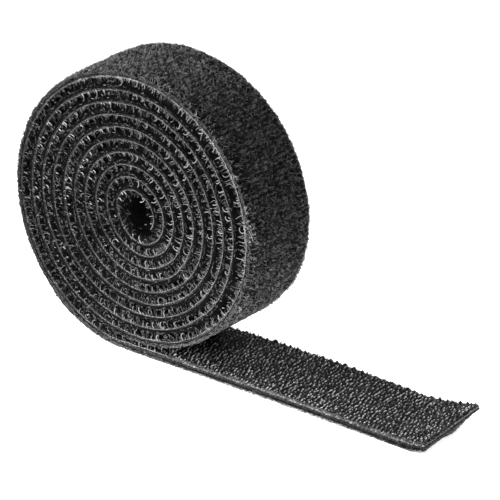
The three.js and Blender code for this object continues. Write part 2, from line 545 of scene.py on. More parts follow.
@dataclass(frozen=True)
class Strands:
    """Lines of yarn on the tape, with as many points each, and a radius and a shade for each."""

    s: Array
    y: Array
    h: Array
    radii: Array
    shade: Array

    @classmethod
    def joined(cls, parts: list[Strands]) -> Strands:
        """Several bundles as one."""
        columns = ([getattr(part, field.name) for part in parts] for field in fields(cls))
        return cls(*map(np.concatenate, columns))

    def some(self, start: int, end: int) -> Strands:
        """The strands from one number up to another."""
        return Strands(*(getattr(self, field.name)[start:end] for field in fields(self)))

    def make(self, name: str, path: TapePath, sides: int, finish: Finish) -> bpy.types.Object:
        """Makes the strands as one piece.

        Args:
            name: The piece's name.
            path: The line that the tape follows.
            sides: Sides of a strand's section.
            finish: The piece's finish.

        Returns:
            The piece.
        """
        points, faces = tubes(path.place(self.s, self.y, self.h), self.radii[:, None], sides)
        draft = MeshDraft()
        draft.add(points, strand_places(self.s, self.y, self.shade[:, None], sides), faces)
        return draft.make(name, finish.material)


class NodeDesk:
    """Adds nodes to one tree and joins them."""

    MIX_FIRST = 6
    MIX_SECOND = 7
    MIX_RESULT = 2

    def __init__(self, tree: bpy.types.NodeTree) -> None:
        """Works on one tree."""
        self.tree = tree

    def add(self, kind: str, **settings: object) -> bpy.types.Node:
        """Adds a node with its settings.

        Args:
            kind: The node's type.
            settings: Values of its properties.

        Returns:
            The node.
        """
        node = self.tree.nodes.new(kind)
        for name, value in settings.items():
            setattr(node, name, value)
        return node

    def feed(self, socket: bpy.types.NodeSocket, value: object) -> None:
        """Joins an output to a socket, or sets the socket's own value.

        Args:
            socket: The socket.
            value: The output or the value.
        """
        if isinstance(value, bpy.types.NodeSocket):
            self.tree.links.new(value, socket)
        else:
            socket.default_value = value

    def math(self, operation: str, first: object, second: object = 0.0) -> bpy.types.NodeSocket:
        """One operation on two values.

        Args:
            operation: What is done.
            first: The value, or an output that gives it.
            second: The value, or an output that gives it.

        Returns:
            The result.
        """
        node = self.add("ShaderNodeMath", operation=operation)
        self.feed(node.inputs[0], first)
        self.feed(node.inputs[1], second)
        return node.outputs[0]

    def stretch(self, vector: object, size: object) -> bpy.types.NodeSocket:
        """A vector counted in a size.

        Args:
            vector: The vector's output.
            size: The length of one unit.

        Returns:
            The longer or shorter vector.
        """
        node = self.add("ShaderNodeVectorMath", operation="SCALE")
        self.feed(node.inputs["Vector"], vector)
        self.feed(node.inputs["Scale"], self.math("DIVIDE", 1.0, size))
        return node.outputs["Vector"]

    def noise(self, vector: object, detail: float) -> bpy.types.NodeSocket:
        """Cloudy values from 0 to 1, one cloud for each unit of the vector.

        Args:
            vector: The vector's output.
            detail: How fine the clouds are.

        Returns:
            The values.
        """
        node = self.add("ShaderNodeTexNoise")
        self.feed(node.inputs["Vector"], vector)
        node.inputs["Scale"].default_value = 1.0
        node.inputs["Detail"].default_value = detail
        return node.outputs[0]

    def remap(self, value: object, low: float, high: float) -> bpy.types.NodeSocket:
        """A value spread from low and high to 0 and 1.

        Args:
            value: The value, or an output that gives it.
            low: What becomes 0.
            high: What becomes 1.

        Returns:
            The result.
        """
        node = self.add("ShaderNodeMapRange", interpolation_type="SMOOTHSTEP")
        self.feed(node.inputs["Value"], value)
        node.inputs["From Min"].default_value = low
        node.inputs["From Max"].default_value = high
        return node.outputs["Result"]

    def blend(self, share: object, first: object, second: object) -> bpy.types.NodeSocket:
        """A colour between two.

        Args:
            share: How much of the second colour.
            first: One colour.
            second: The other colour.

        Returns:
            The colour.
        """
        node = self.add("ShaderNodeMix", data_type="RGBA")
        self.feed(node.inputs[0], share)
        self.feed(node.inputs[self.MIX_FIRST], first)
        self.feed(node.inputs[self.MIX_SECOND], second)
        return node.outputs[self.MIX_RESULT]

    def place(self) -> bpy.types.NodeSocket:
        """Length, distance across and shade of the point that is seen."""
        return self.add("ShaderNodeAttribute", attribute_name=PLACE_ATTRIBUTE).outputs["Vector"]

    def parts(self, vector: object) -> list[bpy.types.NodeSocket]:
        """The three parts of a vector.

        Args:
            vector: The vector's output.

        Returns:
            An output for each part.
        """
        node = self.add("ShaderNodeSeparateXYZ")
        self.feed(node.inputs[0], vector)
        return list(node.outputs)

    def joined(self, along: object, across: object) -> bpy.types.NodeSocket:
        """A vector of a length and a distance across.

        Args:
            along: The length.
            across: The distance across.

        Returns:
            The vector.
        """
        node = self.add("ShaderNodeCombineXYZ")
        self.feed(node.inputs[0], along)
        self.feed(node.inputs[1], across)
        return node.outputs[0]

    def group(self, tree: bpy.types.NodeTree, **values: object) -> bpy.types.Node:
        """Places a group, with a value for each named input.

        Args:
            tree: The group's tree.
            values: Values or outputs by input.

        Returns:
            The group's node.
        """
        node = self.add("ShaderNodeGroup", node_tree=tree)
        for name, value in values.items():
            self.feed(node.inputs[name], value)
        return node


class Effects:
    """Node groups that several finishes share."""

    TUFT_SHARE = 0.5
    COURSE_SHARE = 0.25
    CLOUD_SHARE = 0.25
    COURSE_SHRINK = 0.2
    MOTTLE_RANGE = (0.4, 0.62)

    @staticmethod
    def _tree(
        name: str, inputs: dict[str, str], outputs: dict[str, str]
    ) -> tuple[NodeDesk, object, object]:
        """Makes an empty group.

        Args:
            name: Its name.
            inputs: Kinds of its inputs by name.
            outputs: Kinds of its outputs by name.

        Returns:
            A desk for its tree, and its input and output nodes.
        """
        tree = bpy.data.node_groups.new(name, "ShaderNodeTree")
        for side, sockets in (("INPUT", inputs), ("OUTPUT", outputs)):
            for socket, kind in sockets.items():
                tree.interface.new_socket(socket, in_out=side, socket_type=f"NodeSocket{kind}")
        desk = NodeDesk(tree)
        return desk, desk.add("NodeGroupInput").outputs, desk.add("NodeGroupOutput").inputs

    @cached_property
    def yarn_mottle(self) -> bpy.types.NodeTree:
        """Tufts, courses across the tape and larger clouds of two yarn colours.

        Returns:
            The group's tree.
        """
        sizes = {"Tuft": "Float", "Course": "Float", "Cloud": "Float"}
        inputs = {"Place": "Vector", **sizes, "Dark": "Color", "Light": "Color"}
        desk, given, result = self._tree("yarn_mottle", inputs, {"Color": "Color", "Height": "Float"})
        along, across, shade = desk.parts(given["Place"])
        spot = desk.joined(along, across)
        tuft = desk.noise(desk.stretch(spot, given["Tuft"]), detail=3.0)
        cloud = desk.noise(desk.stretch(spot, given["Cloud"]), detail=2.0)
        across_less = desk.math("MULTIPLY", across, self.COURSE_SHRINK)
        course = desk.noise(desk.stretch(desk.joined(along, across_less), given["Course"]), detail=1.0)
        mixed = desk.math("MULTIPLY", tuft, self.TUFT_SHARE)
        for part, weight in ((course, self.COURSE_SHARE), (cloud, self.CLOUD_SHARE)):
            mixed = desk.math("ADD", mixed, desk.math("MULTIPLY", part, weight))
        share = desk.math("MULTIPLY", desk.remap(mixed, *self.MOTTLE_RANGE), shade)
        desk.feed(result["Color"], desk.blend(share, given["Dark"], given["Light"]))
        desk.feed(result["Height"], tuft)
        return desk.tree

    @cached_property
    def plain_weave(self) -> bpy.types.NodeTree:
        """Crossing threads, as a height from 0 to 1.

        Returns:
            The group's tree.
        """
        inputs = {"Place": "Vector", "Warp": "Float", "Weft": "Float"}
        desk, given, result = self._tree("plain_weave", inputs, {"Height": "Float"})
        along, across, _ = desk.parts(given["Place"])
        waves = []
        for part, pitch in ((across, given["Warp"]), (along, given["Weft"])):
            turns = desk.math("DIVIDE", part, pitch)
            waves.append(desk.math("SINE", desk.math("MULTIPLY", turns, FULL_TURN)))
        woven = desk.math("MULTIPLY", waves[0], waves[1])
        desk.feed(result["Height"], desk.math("MULTIPLY_ADD", woven, 0.5))
        return desk.tree


EFFECTS = Effects()


def rgba(colour: Colour) -> tuple[float, float, float, float]:
    """A colour with full cover."""
    return (*colour, 1.0)


class Finish:
    """What every finish does to make its material."""

    name: str
    roughness: float

    def _start(self) -> tuple[NodeDesk, bpy.types.Node]:
        """A new material's desk and its main shader.

        Returns:
            The desk and the shader.
        """
        material = bpy.data.materials.new(self.name)
        material.use_nodes = True
        shader = material.node_tree.nodes["Principled BSDF"]
        shader.inputs["Roughness"].default_value = self.roughness
        return NodeDesk(material.node_tree), shader

    def _bump(self, desk: NodeDesk, shader: bpy.types.Node, height: object, depth: float) -> None:
        """Adds a fine relief of a depth.

        Args:
            desk: The material's desk.
            shader: Its main shader.
            height: Heights from 0 to 1.
            depth: Depth of the relief.
        """
        bump = desk.add("ShaderNodeBump")
        bump.inputs["Distance"].default_value = depth
        desk.feed(bump.inputs["Height"], height)
        desk.feed(shader.inputs["Normal"], bump.outputs["Normal"])

    @cached_property
    def material(self) -> bpy.types.Material:
        """The finish as a material.

        Returns:
            The material.
        """
        desk, shader = self._start()
        self._dress(desk, shader)
        return bpy.data.materials[self.name]

    def _dress(self, desk: NodeDesk, shader: bpy.types.Node) -> None:
        """Feeds the main shader.

        Args:
            desk: The material's desk.
            shader: Its main shader.
        """
        raise NotImplementedError


@dataclass(frozen=True)
class PileFinish(Finish):
    """Matt brushed loops."""

    name: str
    dark: Colour
    light: Colour
    tuft: float = 0.42 * MM
    course: float = 0.9 * MM
    cloud: float = 3.5 * MM
    relief: float = 0.12 * MM
    roughness: float = 0.9
    specular: float = 0.1

    def _dress(self, desk: NodeDesk, shader: bpy.types.Node) -> None:
        """Mottled yarn with a nap.

        Args:
            desk: The material's desk.
            shader: Its main shader.
        """
        sizes = {"Tuft": self.tuft, "Course": self.course, "Cloud": self.cloud}
        colours = {"Dark": rgba(self.dark), "Light": rgba(self.light)}
        mottle = desk.group(EFFECTS.yarn_mottle, Place=desk.place(), **sizes, **colours)
        desk.feed(shader.inputs["Base Color"], mottle.outputs["Color"])
        self._bump(desk, shader, mottle.outputs["Height"], self.relief)
        shader.inputs["Specular IOR Level"].default_value = self.specular


@dataclass(frozen=True)
class StrandFinish(Finish):
    """Single strands, each of its own shade."""

    name: str
    dark: Colour
    light: Colour
    roughness: float
    specular: float = 0.5
    index: float = 1.5

    def _dress(self, desk: NodeDesk, shader: bpy.types.Node) -> None:
        """A shade for each strand.

        Args:
            desk: The material's desk.
            shader: Its main shader.
        """
        shade = desk.parts(desk.place())[2]
        desk.feed(shader.inputs["Base Color"], desk.blend(shade, rgba(self.dark), rgba(self.light)))
        shader.inputs["Specular IOR Level"].default_value = self.specular
        shader.inputs["IOR"].default_value = self.index


@dataclass(frozen=True)
class WeaveFinish(Finish):
    """Woven ground of the hooks."""

    name: str
    dark: Colour
    light: Colour
    roughness: float = 0.9
    specular: float = 0.02
    warp: float = 0.5 * MM
    weft: float = 0.62 * MM
    wefts_per_cloud: float = 8
    relief: float = 0.06 * MM

    def _dress(self, desk: NodeDesk, shader: bpy.types.Node) -> None:
        """Crossing threads over mottled yarn.

        Args:
            desk: The material's desk.
            shader: Its main shader.
        """
        place = desk.place()
        weave = desk.group(EFFECTS.plain_weave, Place=place, Warp=self.warp, Weft=self.weft)
        sizes = {"Tuft": self.warp, "Course": self.weft, "Cloud": self.wefts_per_cloud * self.weft}
        colours = {"Dark": rgba(self.dark), "Light": rgba(self.light)}
        mottle = desk.group(EFFECTS.yarn_mottle, Place=place, **sizes, **colours)
        desk.feed(shader.inputs["Base Color"], mottle.outputs["Color"])
        self._bump(desk, shader, weave.outputs["Height"], self.relief)
        shader.inputs["Specular IOR Level"].default_value = self.specular


PILE = PileFinish(
    "charcoal_pile", dark=(0.004, 0.004, 0.0042), light=(0.052, 0.052, 0.0532), specular=0.05
)
PILE_YARN = StrandFinish(
    "pile_yarn", dark=(0.006, 0.006, 0.0062), light=(0.62, 0.62, 0.626), roughness=0.6, specular=0.08
)
# Black monofilament, whose pale colour stands for painted glints.
FILAMENT = StrandFinish(
    "hook_filament", dark=(0.012, 0.012, 0.0125), light=(0.9, 0.9, 0.905), roughness=0.25, index=1.8
)
GROUND = WeaveFinish("woven_ground", dark=(0.012, 0.012, 0.0125), light=(0.15, 0.15, 0.152))
SELVEDGE = StrandFinish("selvedge_cord", dark=(0.05, 0.05, 0.051), light=(0.85, 0.85, 0.855), roughness=0.4)
FILM = PileFinish("bond_film", dark=(0.008, 0.008, 0.009), light=(0.018, 0.018, 0.019), roughness=0.45)


@dataclass
class Layer:
    """What the layers of the tape share."""

    EDGE_COLUMNS: ClassVar[int] = 13
    CORNER_START: ClassVar[float] = 3.0 * MM
    CORNER_REACH: ClassVar[tuple[float, float]] = (0.4 * MM, 4.5 * MM)
    path: TapePath

    @property
    def sizes(self) -> TapeSizes:
        """The tape's sizes."""
        return self.path.sizes

    def across(self, count: int, inset: float) -> Array:
        """Even distances across the tape, with an inset at both edges."""
        half = self.sizes.half_width - inset
        return np.linspace(-half, half, count)

    def edge_lines(self, inset: float) -> Array:
        """Distances across the tape that are close together at its edges."""
        half = self.sizes.half_width - inset
        return half * np.sin(np.linspace(-math.pi / 2, math.pi / 2, self.EDGE_COLUMNS))

    def draws(self, span: Span, seed: int) -> np.random.Generator:
        """A source of random values for a stretch."""
        return np.random.default_rng(round(span.start / MM) + seed)

    def left(self, s: Array) -> Array:
        """One on the left side of the roll, and none on its right side."""
        return np.maximum(np.sin(FULL_TURN * self.path.turns_at(s)), 0.0) ** 2

    def far_corner(self, s: Array, y: Array) -> Array:
        """One at the far corner of the cut end, and none a few millimetres away from it."""
        at_edge = smoothstep(y, self.CORNER_START, self.sizes.half_width)
        return at_edge * (1.0 - smoothstep(s, *self.CORNER_REACH))

    def finish_piece(self, piece: bpy.types.Object, span: Span, slot: Slot, stands_for: bool) -> None:
        """Hands a piece to its stretch, hides the solid that it stands for and logs its faces.

        Args:
            piece: The piece.
            span: The stretch of tape that it is on.
            slot: The record's slot of its finish.
            stands_for: Whether it takes the place of the stretch's solid.
        """
        span.carry(piece)
        if stands_for:
            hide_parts(span.node(slot))
        log.info("%s: %d faces", piece.name, len(piece.data.polygons))


@dataclass(frozen=True)
class HookShape:
    """A cut loop of monofilament: a bent hook and the stub beside it."""

    stem: float
    crown: float
    sweep: float
    filament: float
    stub: float
    lean: float
    ways: tuple[float, float]
    spread: float
    vary: float
    margin: float
    row_pitch: float
    column_pitch: float
    stagger: float
    stem_tone: float
    # Painted glints: the way along which a strand is painted palest, and how closely it must run along it.
    painted_glint_way: Point
    lit_range: tuple[float, float]
    sides: int
    stem_points: int
    arc_points: int

    def painted_glint_tones(self, lines: Array, stems: Array, crowns: Array) -> Array:
        """Painted glints on strands: points are palest where a strand runs along the glint way, as a
        highlight would fall there.

        Args:
            lines: Points by strand.
            stems: How many times paler than the least tone the rest of each strand is.
            crowns: The most tone of each strand.

        Returns:
            A tone by strand and point.
        """
        along = np.abs(unit(np.gradient(lines, axis=1)) @ np.array(self.painted_glint_way))
        least = self.stem_tone * stems[:, None]
        return least + (crowns[:, None] - least) * smoothstep(along, *self.lit_range)


TAIL_HOOK = HookShape(
    stem=0.35 * MM,
    crown=0.48 * MM,
    sweep=math.radians(45),
    filament=0.128 * MM,
    stub=0.35 * MM,
    lean=math.radians(30),
    ways=(math.radians(105), math.radians(125)),
    spread=math.radians(14),
    vary=0.2,
    margin=0.5 * MM,
    row_pitch=1.0 * MM,
    column_pitch=1.1 * MM,
    stagger=0.15,
    stem_tone=0.12,
    painted_glint_way=(0.4, 0.87, 0.28),
    lit_range=(0.74, 0.93),
    sides=6,
    stem_points=3,
    arc_points=8,
)
ROLL_HOOK = HookShape(
    stem=0.4 * MM,
    crown=0.6 * MM,
    sweep=math.radians(92),
    filament=0.08 * MM,
    stub=0.4 * MM,
    lean=math.radians(-26),
    ways=(math.radians(180), math.radians(160)),
    spread=math.radians(24),
    vary=0.3,
    margin=0.15 * MM,
    row_pitch=2.1 * MM,
    column_pitch=0.95 * MM,
    stagger=0.5,
    stem_tone=0.08,
    painted_glint_way=(0.85, 0.0, -0.53),
    lit_range=(0.83, 0.94),
    sides=5,
    stem_points=2,
    arc_points=8,
)


class Draw(IntEnum):
    """What each of a hook's random values is for."""

    WAY = 0
    STEM = 1
    CROWN = 2
    LEAN = 3
    SWEEP = 4
    ALONG = 5
    ACROSS = 6
    TONE = 7


@dataclass(frozen=True)
class HookRows:
    """Where the hooks of a stretch stand, which of two ways each bends, and its random values."""

    s: Array
    y: Array
    turned: Array
    draws: Array

    def __len__(self) -> int:
        """How many hooks there are."""
        return len(self.s)


@dataclass
class HookTape(Layer):
    """The woven ground, its corded selvedges and its hooks."""

    CORD_SIDES: ClassVar[int] = 5
    YARN_SIDES: ClassVar[int] = 4
    YARN_POINTS: ClassVar[int] = 5
    END_POINTS: ClassVar[int] = 3
    FLAT_COLUMNS: ClassVar[int] = 67
    STUB_ACROSS: ClassVar[Point] = (0.3, 1.0, 0.1)
    DRAW_LIMIT: ClassVar[float] = 2.2
    ground_inset: float = 0.12 * MM
    flat_step: float = 0.22 * MM
    wound_step: float = 1.0 * MM
    rib_pitch: float = 1.118 * MM
    rib_row: float = 1.0 * MM
    rib_shares: tuple[float, float] = (0.4, 0.6)
    rib_depth: float = 0.13 * MM
    rib_painted_shade: float = 0.52
    flat_shade: float = 0.26
    yarn_shade: float = 0.2
    wound_shade: float = 0.45
    deep_painted_shade: float = 0.25
    deep_range: tuple[float, float] = (0.3 * MM, 2.5 * MM)
    painted_eye_shade: float = 0.4
    left_dark: float = 0.65
    scallop_pitch: float = 2.0 * MM
    scallop_height: float = 0.85 * MM
    scallop_shade: float = 0.45
    mat: float = 0.4 * MM
    mat_turns: float = 0.03
    corner_thin: float = 0.2 * MM
    cord_inset: float = 0.12 * MM
    cord_sink: float = 0.12 * MM
    cord_radius: float = 0.047 * MM
    cord_bead: float = 0.022 * MM
    cord_left_thin: float = 0.3
    cord_left_painted_shade: float = 0.7
    outer_cord: float = 0.85
    outer_part: tuple[float, ...] = (0.25, 0.5, 0.68, 0.85)
    bead_pitch: float = 0.75 * MM
    cord_step: float = 0.15 * MM
    stitch_rows: tuple[tuple[float, float], ...] = ((0.1, -0.32), (0.1, -0.1), (0.4, 0.0))
    stitch_pitch: float = 0.55 * MM
    stitch_length: float = 0.7
    stitch_radius: float = 0.12 * MM
    lint_turns: tuple[float, float] = (0.4, 0.8)
    lint_per_mm: float = 2.0
    outer_lint_per_mm: float = 4.0
    edge_columns: int = 4
    open_angle: float = math.radians(20)
    sink: float = 0.1 * MM
    stub_gap: float = 0.45 * MM
    end_margin: float = 0.5 * MM
    jitter: float = 0.11 * MM
    lean_vary: float = 0.16
    filament_vary: float = 0.06
    stub_vary: float = 0.2
    lit_hooks: tuple[float, float] = (0.4, 0.6)
    left_fewer_painted_glints: float = 0.14
    painted_stem_gain: float = 4.2
    painted_stem_sides: tuple[float, float] = (-0.8, 0.2)
    painted_crown_loss: float = 0.55
    painted_crown_sides: tuple[float, float] = (-0.2, 0.6)
    thread_pitch: float = 0.16 * MM
    thread_radius: float = 0.09 * MM
    fray_turns: tuple[tuple[float, int], ...] = (
        (0.53, 4),
        (0.58, 3),
        (0.62, 3),
        (0.664, 10),
        (0.705, 9),
        (0.72, 10),
        (0.735, 8),
    )
    fray_radius: float = 0.04 * MM
    painted_shade_depth: float = 3.0 * MM
    specks_per_mm: float = 2.6
    low_specks: float = 0.15
    low_speck_tone: float = 0.4
    speck_radius: float = 0.06 * MM
    bridges_per_mm: float = 0.8
    bridge_radius: float = 0.036 * MM
    bridge_start: float = 0.06

    def build(self, span: Span) -> None:
        """Builds and dresses the ground, the selvedges and the hooks.

        Args:
            span: The stretch.
        """
        ground = self.ground(span)
        pieces = [self.selvedge(span), *self.hooks(span)]
        if span.lie is Lie.FLAT:
            pieces.append(self.stitches(span))
        else:
            pieces += [self.frays(span), self.specks(span)]
        if span.start == self.path.CUT:
            pieces.append(self.cut_threads(span))
        self.finish_piece(ground, span, Slot.HOOK_TAPE, stands_for=True)
        for piece in pieces:
            self.finish_piece(piece, span, Slot.HOOK_TAPE, stands_for=False)
        flat = (self.sizes.width, span.length)

    def ground(self, span: Span) -> bpy.types.Object:
        """The woven strip that holds the hooks.

        Args:
            span: The stretch.

        Returns:
            The piece.
        """
        if span.lie is Lie.FLAT:
            s = span.samples(self.flat_step)
            y = self.across(self.FLAT_COLUMNS, self.ground_inset)
            ribs = self._ribs(s[:, None], y)
            relief = self.rib_depth * ribs + self._scallops(s, y)
            shade = self._flat_shade(s[:, None], y, ribs)
        else:
            s = span.samples(self.wound_step)
            y = self.edge_lines(self.ground_inset)
            relief = 0.0
            shade = self._wound_shade(s[:, None], y)
        high = self.top(s[:, None], y) + relief
        draft = MeshDraft()
        draft.add(*closed_strip(self.path, s, y, np.zeros_like(high), high, shade))
        return draft.make(f"{span.name}_ground", GROUND.material)

    def _ribs(self, s: Array, y: Array) -> Array:
        """Waves of the weave over the ground, from -1 to 1."""
        across, along = self.rib_shares
        return across * np.cos(FULL_TURN * y / self.rib_pitch) + along * np.cos(FULL_TURN * s / self.rib_row)

    def _flat_shade(self, s: Array, y: Array, ribs: Array) -> Array:
        """Shade of the ground on the tail: pale on its ribs with painted shade in the furrows between the
        rows of hooks, and pale on its teeth.

        Args:
            s: Lengths along the tape.
            y: Distances across it.
            ribs: Waves of the weave there.

        Returns:
            The shades.
        """
        half = self.sizes.half_width
        teeth = self.scallop_shade * smoothstep(y, half - 1.2 * MM, half - 0.4 * MM)
        yarn = self.yarn_shade * clumps(s, y, 0.6 * MM, Seed.GROUND_YARN)
        return self.flat_shade + self.rib_painted_shade * ribs + yarn + teeth

    def _wound_shade(self, s: Array, y: Array) -> Array:
        """Painted shade on the ground in the roll: dark deep between its turns, in the eye and on the roll's
        left side.

        Args:
            s: Lengths along the tape.
            y: Distances across it.

        Returns:
            The shades.
        """
        deep = smoothstep(self.sizes.half_width - np.abs(y), *self.deep_range)
        in_eye = 1.0 - self.painted_eye_shade * self._in_eye(s) * deep
        painted_left_dimming = 1.0 - self.left_dark * self.left(s)
        return (self.wound_shade - self.deep_painted_shade * deep) * in_eye * painted_left_dimming

    def _scallops(self, s: Array, y: Array) -> Array:
        """Height of the teeth along the far selvedge, where the last hooks pull the ground up.

        Args:
            s: Lengths along the tape.
            y: Distances across it.

        Returns:
            Heights by length and distance.
        """
        half = self.sizes.half_width
        wander = 1.5 * ripples(s, 3.0 * MM, Seed.SCALLOP_WANDER)
        wave = np.sin(FULL_TURN * s / self.scallop_pitch + wander)
        tall = self.scallop_height * (0.7 + 0.3 * ripples(s, 2.2 * MM, Seed.SCALLOP_HEIGHT))
        teeth = tall * (0.25 + 0.75 * np.maximum(wave, 0.0))
        from_cut = smoothstep(s, 0.1 * MM, 1.4 * MM)
        return (teeth * from_cut)[:, None] * smoothstep(y, half - 1.1 * MM, half - 0.3 * MM)

    def top(self, s: Array, y: Array) -> Array:
        """Height of the ground, which is thicker on the tail, where nothing presses on it."""
        loose = self.mat * (1.0 - smoothstep(self.path.turns_at(s), 0.0, self.mat_turns))
        return self.sizes.hook_ground + loose - self.corner_thin * self.far_corner(s, y)

    def selvedge(self, span: Span) -> bpy.types.Object:
        """The beaded cord along each edge of the ground.

        Args:
            span: The stretch.

        Returns:
            The piece.
        """
        s = span.samples(self.cord_step)
        beads = np.sin(FULL_TURN * s / self.bead_pitch)
        binormal = np.array([[0.0, 1.0, 0.0]])
        draft = MeshDraft()
        for edge, side in enumerate((-1.0, 1.0)):
            sideways = 0.04 * MM * ripples(s, 1.1 * MM, Seed.CORD_SIDEWAYS + edge)
            y = side * (self.sizes.half_width - self.cord_inset) + sideways
            fine = 0.08 * ripples(s, 0.7 * MM, Seed.CORD_FINE + edge)
            coarse = 0.16 * ripples(s, 5.0 * MM, Seed.CORD_COARSE + edge)
            h = self.top(s, y) - self.cord_sink + (fine + coarse) * MM
            radii = self._cord_radii(s, beads, Seed.CORD_SWELL + edge)
            points, faces = tubes(self.path.place(s, y, h)[None], radii[None], self.CORD_SIDES, binormal)
            shade = self._cord_shade(s, beads, Seed.CORD_SHADE + edge)
            draft.add(points, strand_places(s, y, shade, self.CORD_SIDES), faces)
        return draft.make(f"{span.name}_selvedge", SELVEDGE.material)

    def _cord_radii(self, s: Array, beads: Array, seed: int) -> Array:
        """Radius of a cord, which is finer on the left side of the roll.

        Args:
            s: Lengths along the tape.
            beads: Waves of its beads there.
            seed: Picks how the beads swell.

        Returns:
            The radii.
        """
        swell = 0.6 + 0.4 * ripples(s, 1.3 * MM, seed)
        radii = (self.cord_radius + self.cord_bead * swell * beads) * self._outer(s, 1.0, self.outer_cord)
        return radii * (1.0 - self.cord_left_thin * self.left(s))

    def _cord_shade(self, s: Array, beads: Array, seed: int) -> Array:
        """Shade of a cord, with painted light on the upper and right parts of the outer turn and on its
        beads, and painted shade on the left side of the roll.

        Args:
            s: Lengths along the tape.
            beads: Waves of its beads there.
            seed: Picks how the shade varies.

        Returns:
            The shades.
        """
        shade = 0.6 + 0.4 * ripples(s, 0.5 * MM, seed) + 0.2 * beads + self._outer(s, 0.0, 0.7)
        fade = 0.75 + 0.25 * ripples(s, 6.0 * MM, Seed.CORD_FADE)
        return shade * self._outer(s, 0.7, 1.0) * fade * (1.0 - self.cord_left_painted_shade * self.left(s))

    def _in_eye(self, s: Array) -> Array:
        """One on the last turn, round the eye of the roll, and none before it."""
        return smoothstep(self.path.turns_at(s), self.sizes.turns - 1.0, self.sizes.turns - 0.9)

    def _rightward(self, s: Array) -> Array:
        """From -1 on the left side of the roll to 1 on its right side."""
        return -np.sin(FULL_TURN * self.path.turns_at(s))

    def _outer(self, s: Array, elsewhere: float, value: float) -> Array:
        """A value on the upper and right parts of the outer turn, and another one elsewhere.

        Args:
            s: Lengths along the tape.
            elsewhere: The value elsewhere.
            value: The value on those parts.

        Returns:
            The values.
        """
        turns = self.path.turns_at(s)
        start, full, ease, end = self.outer_part
        share = smoothstep(turns, start, full) * (1.0 - smoothstep(turns, ease, end))
        return elsewhere + (value - elsewhere) * share

    def frays(self, span: Span) -> bpy.types.Object:
        """Ends of yarn that stand out of the selvedges, and pale bunches of them on the outer turn.

        Args:
            span: The stretch.

        Returns:
            The piece.
        """
        draws = np.random.default_rng(Seed.FRAYS)
        parts = []
        for turn, count in self.fray_turns:
            middle = self.path.at_angle(turn * FULL_TURN)
            if span.start < middle < span.end:
                parts.append(self._bunch(middle, count, draws))
        parts.append(self._lint(span, draws))
        return Strands.joined(parts).make(f"{span.name}_frays", self.path, self.YARN_SIDES, SELVEDGE)

    def _bunch(self, middle: float, count: int, draws: np.random.Generator) -> Strands:
        """A bunch of bowed ends of yarn at the near selvedge.

        Args:
            middle: Its length along the tape.
            count: How many ends it has.
            draws: Source of random values.

        Returns:
            The ends.
        """
        t = steps(self.YARN_POINTS)
        bow = arch(t)
        each = (count, 1)
        s = middle + draws.normal(0, 0.5, each) * MM
        along = s + (t * draws.normal(0, 0.6, each) + bow * draws.normal(0, 0.4, each)) * MM
        across = -self.sizes.half_width - bow * draws.uniform(0.0, 0.4, each) * MM
        start = self.sizes.hook_ground - draws.uniform(0.0, 1.6, each) * MM
        h = start - (t * draws.uniform(0.2, 1.0, each) + bow * draws.normal(0, 0.2, each)) * MM
        radii = np.full(count, self.fray_radius)
        return Strands(along, across, h, radii, draws.uniform(0.25, 0.8, count))

    def _lint(self, span: Span, draws: np.random.Generator) -> Strands:
        """Short ends of yarn all along both selvedges, more of them on the outer turn, with painted light on
        its upper and right parts.

        Args:
            span: The stretch.
            draws: Source of random values.

        Returns:
            The ends.
        """
        outer = [self.path.at_angle(turns * FULL_TURN) for turns in self.lint_turns]
        many = round(2 * self.lint_per_mm * span.length / MM)
        lengths = [draws.uniform(span.start, span.end, many)]
        if span.start < outer[0] < span.end:
            many = round(2 * self.outer_lint_per_mm * (outer[1] - outer[0]) / MM)
            lengths.append(draws.uniform(*outer, many))
        s = np.concatenate(lengths)[:, None]
        count = len(s)
        each = (count, 1)
        t = steps(self.YARN_POINTS)
        along = s + (t - 0.5) * draws.uniform(-0.8, 0.8, each) * MM
        inset = draws.uniform(0.02, 0.2, each) * MM
        across = by_turns(count)[:, None] * (self.sizes.half_width - inset) + 0.0 * t
        level = self.sizes.hook_ground - self.cord_sink + draws.normal(0, 0.1, each) * MM
        bow = t * (1 - t) * draws.normal(0, 0.3, each)
        h = level + ((t - 0.5) * draws.normal(0, 0.6, each) + bow) * MM
        # Painted light on the upper and right parts of the outer turn.
        shade = self._outer(s[:, 0], 0.5, 1.3) * draws.uniform(0, 1, count) ** 2.5
        return Strands(along, across, h, np.full(count, self.fray_radius), shade)

    def specks(self, span: Span) -> bpy.types.Object:
        """Short ends of filament and pulled yarn, and bridging strands, in the gaps between the turns.

        Args:
            span: The stretch.

        Returns:
            The piece.
        """
        draws = self.draws(span, Seed.SPECKS)
        count = round(2 * self.specks_per_mm * span.length / MM)
        t = steps(self.END_POINTS) - 0.5
        s = draws.uniform(span.start, span.end, count)
        on_pile = draws.uniform(0, 1, count) < self.low_specks
        depth = np.where(on_pile, draws.uniform(-0.08, 0.0, count), draws.uniform(0.05, 1.6, count)) * MM
        level = np.where(on_pile, draws.uniform(-1.1, 0.0, count), draws.uniform(0.45, 1.85, count)) * MM
        way = draws.uniform(0, math.pi, count)[:, None]
        length = draws.uniform(0.2, 0.7, count)[:, None] * MM
        along = s[:, None] + t * length * np.cos(way)
        across = (by_turns(count) * (self.sizes.half_width - depth))[:, None] + 0.0 * t
        height = level[:, None] + t * length * np.sin(way)
        run = self.path.place(along, across, height)
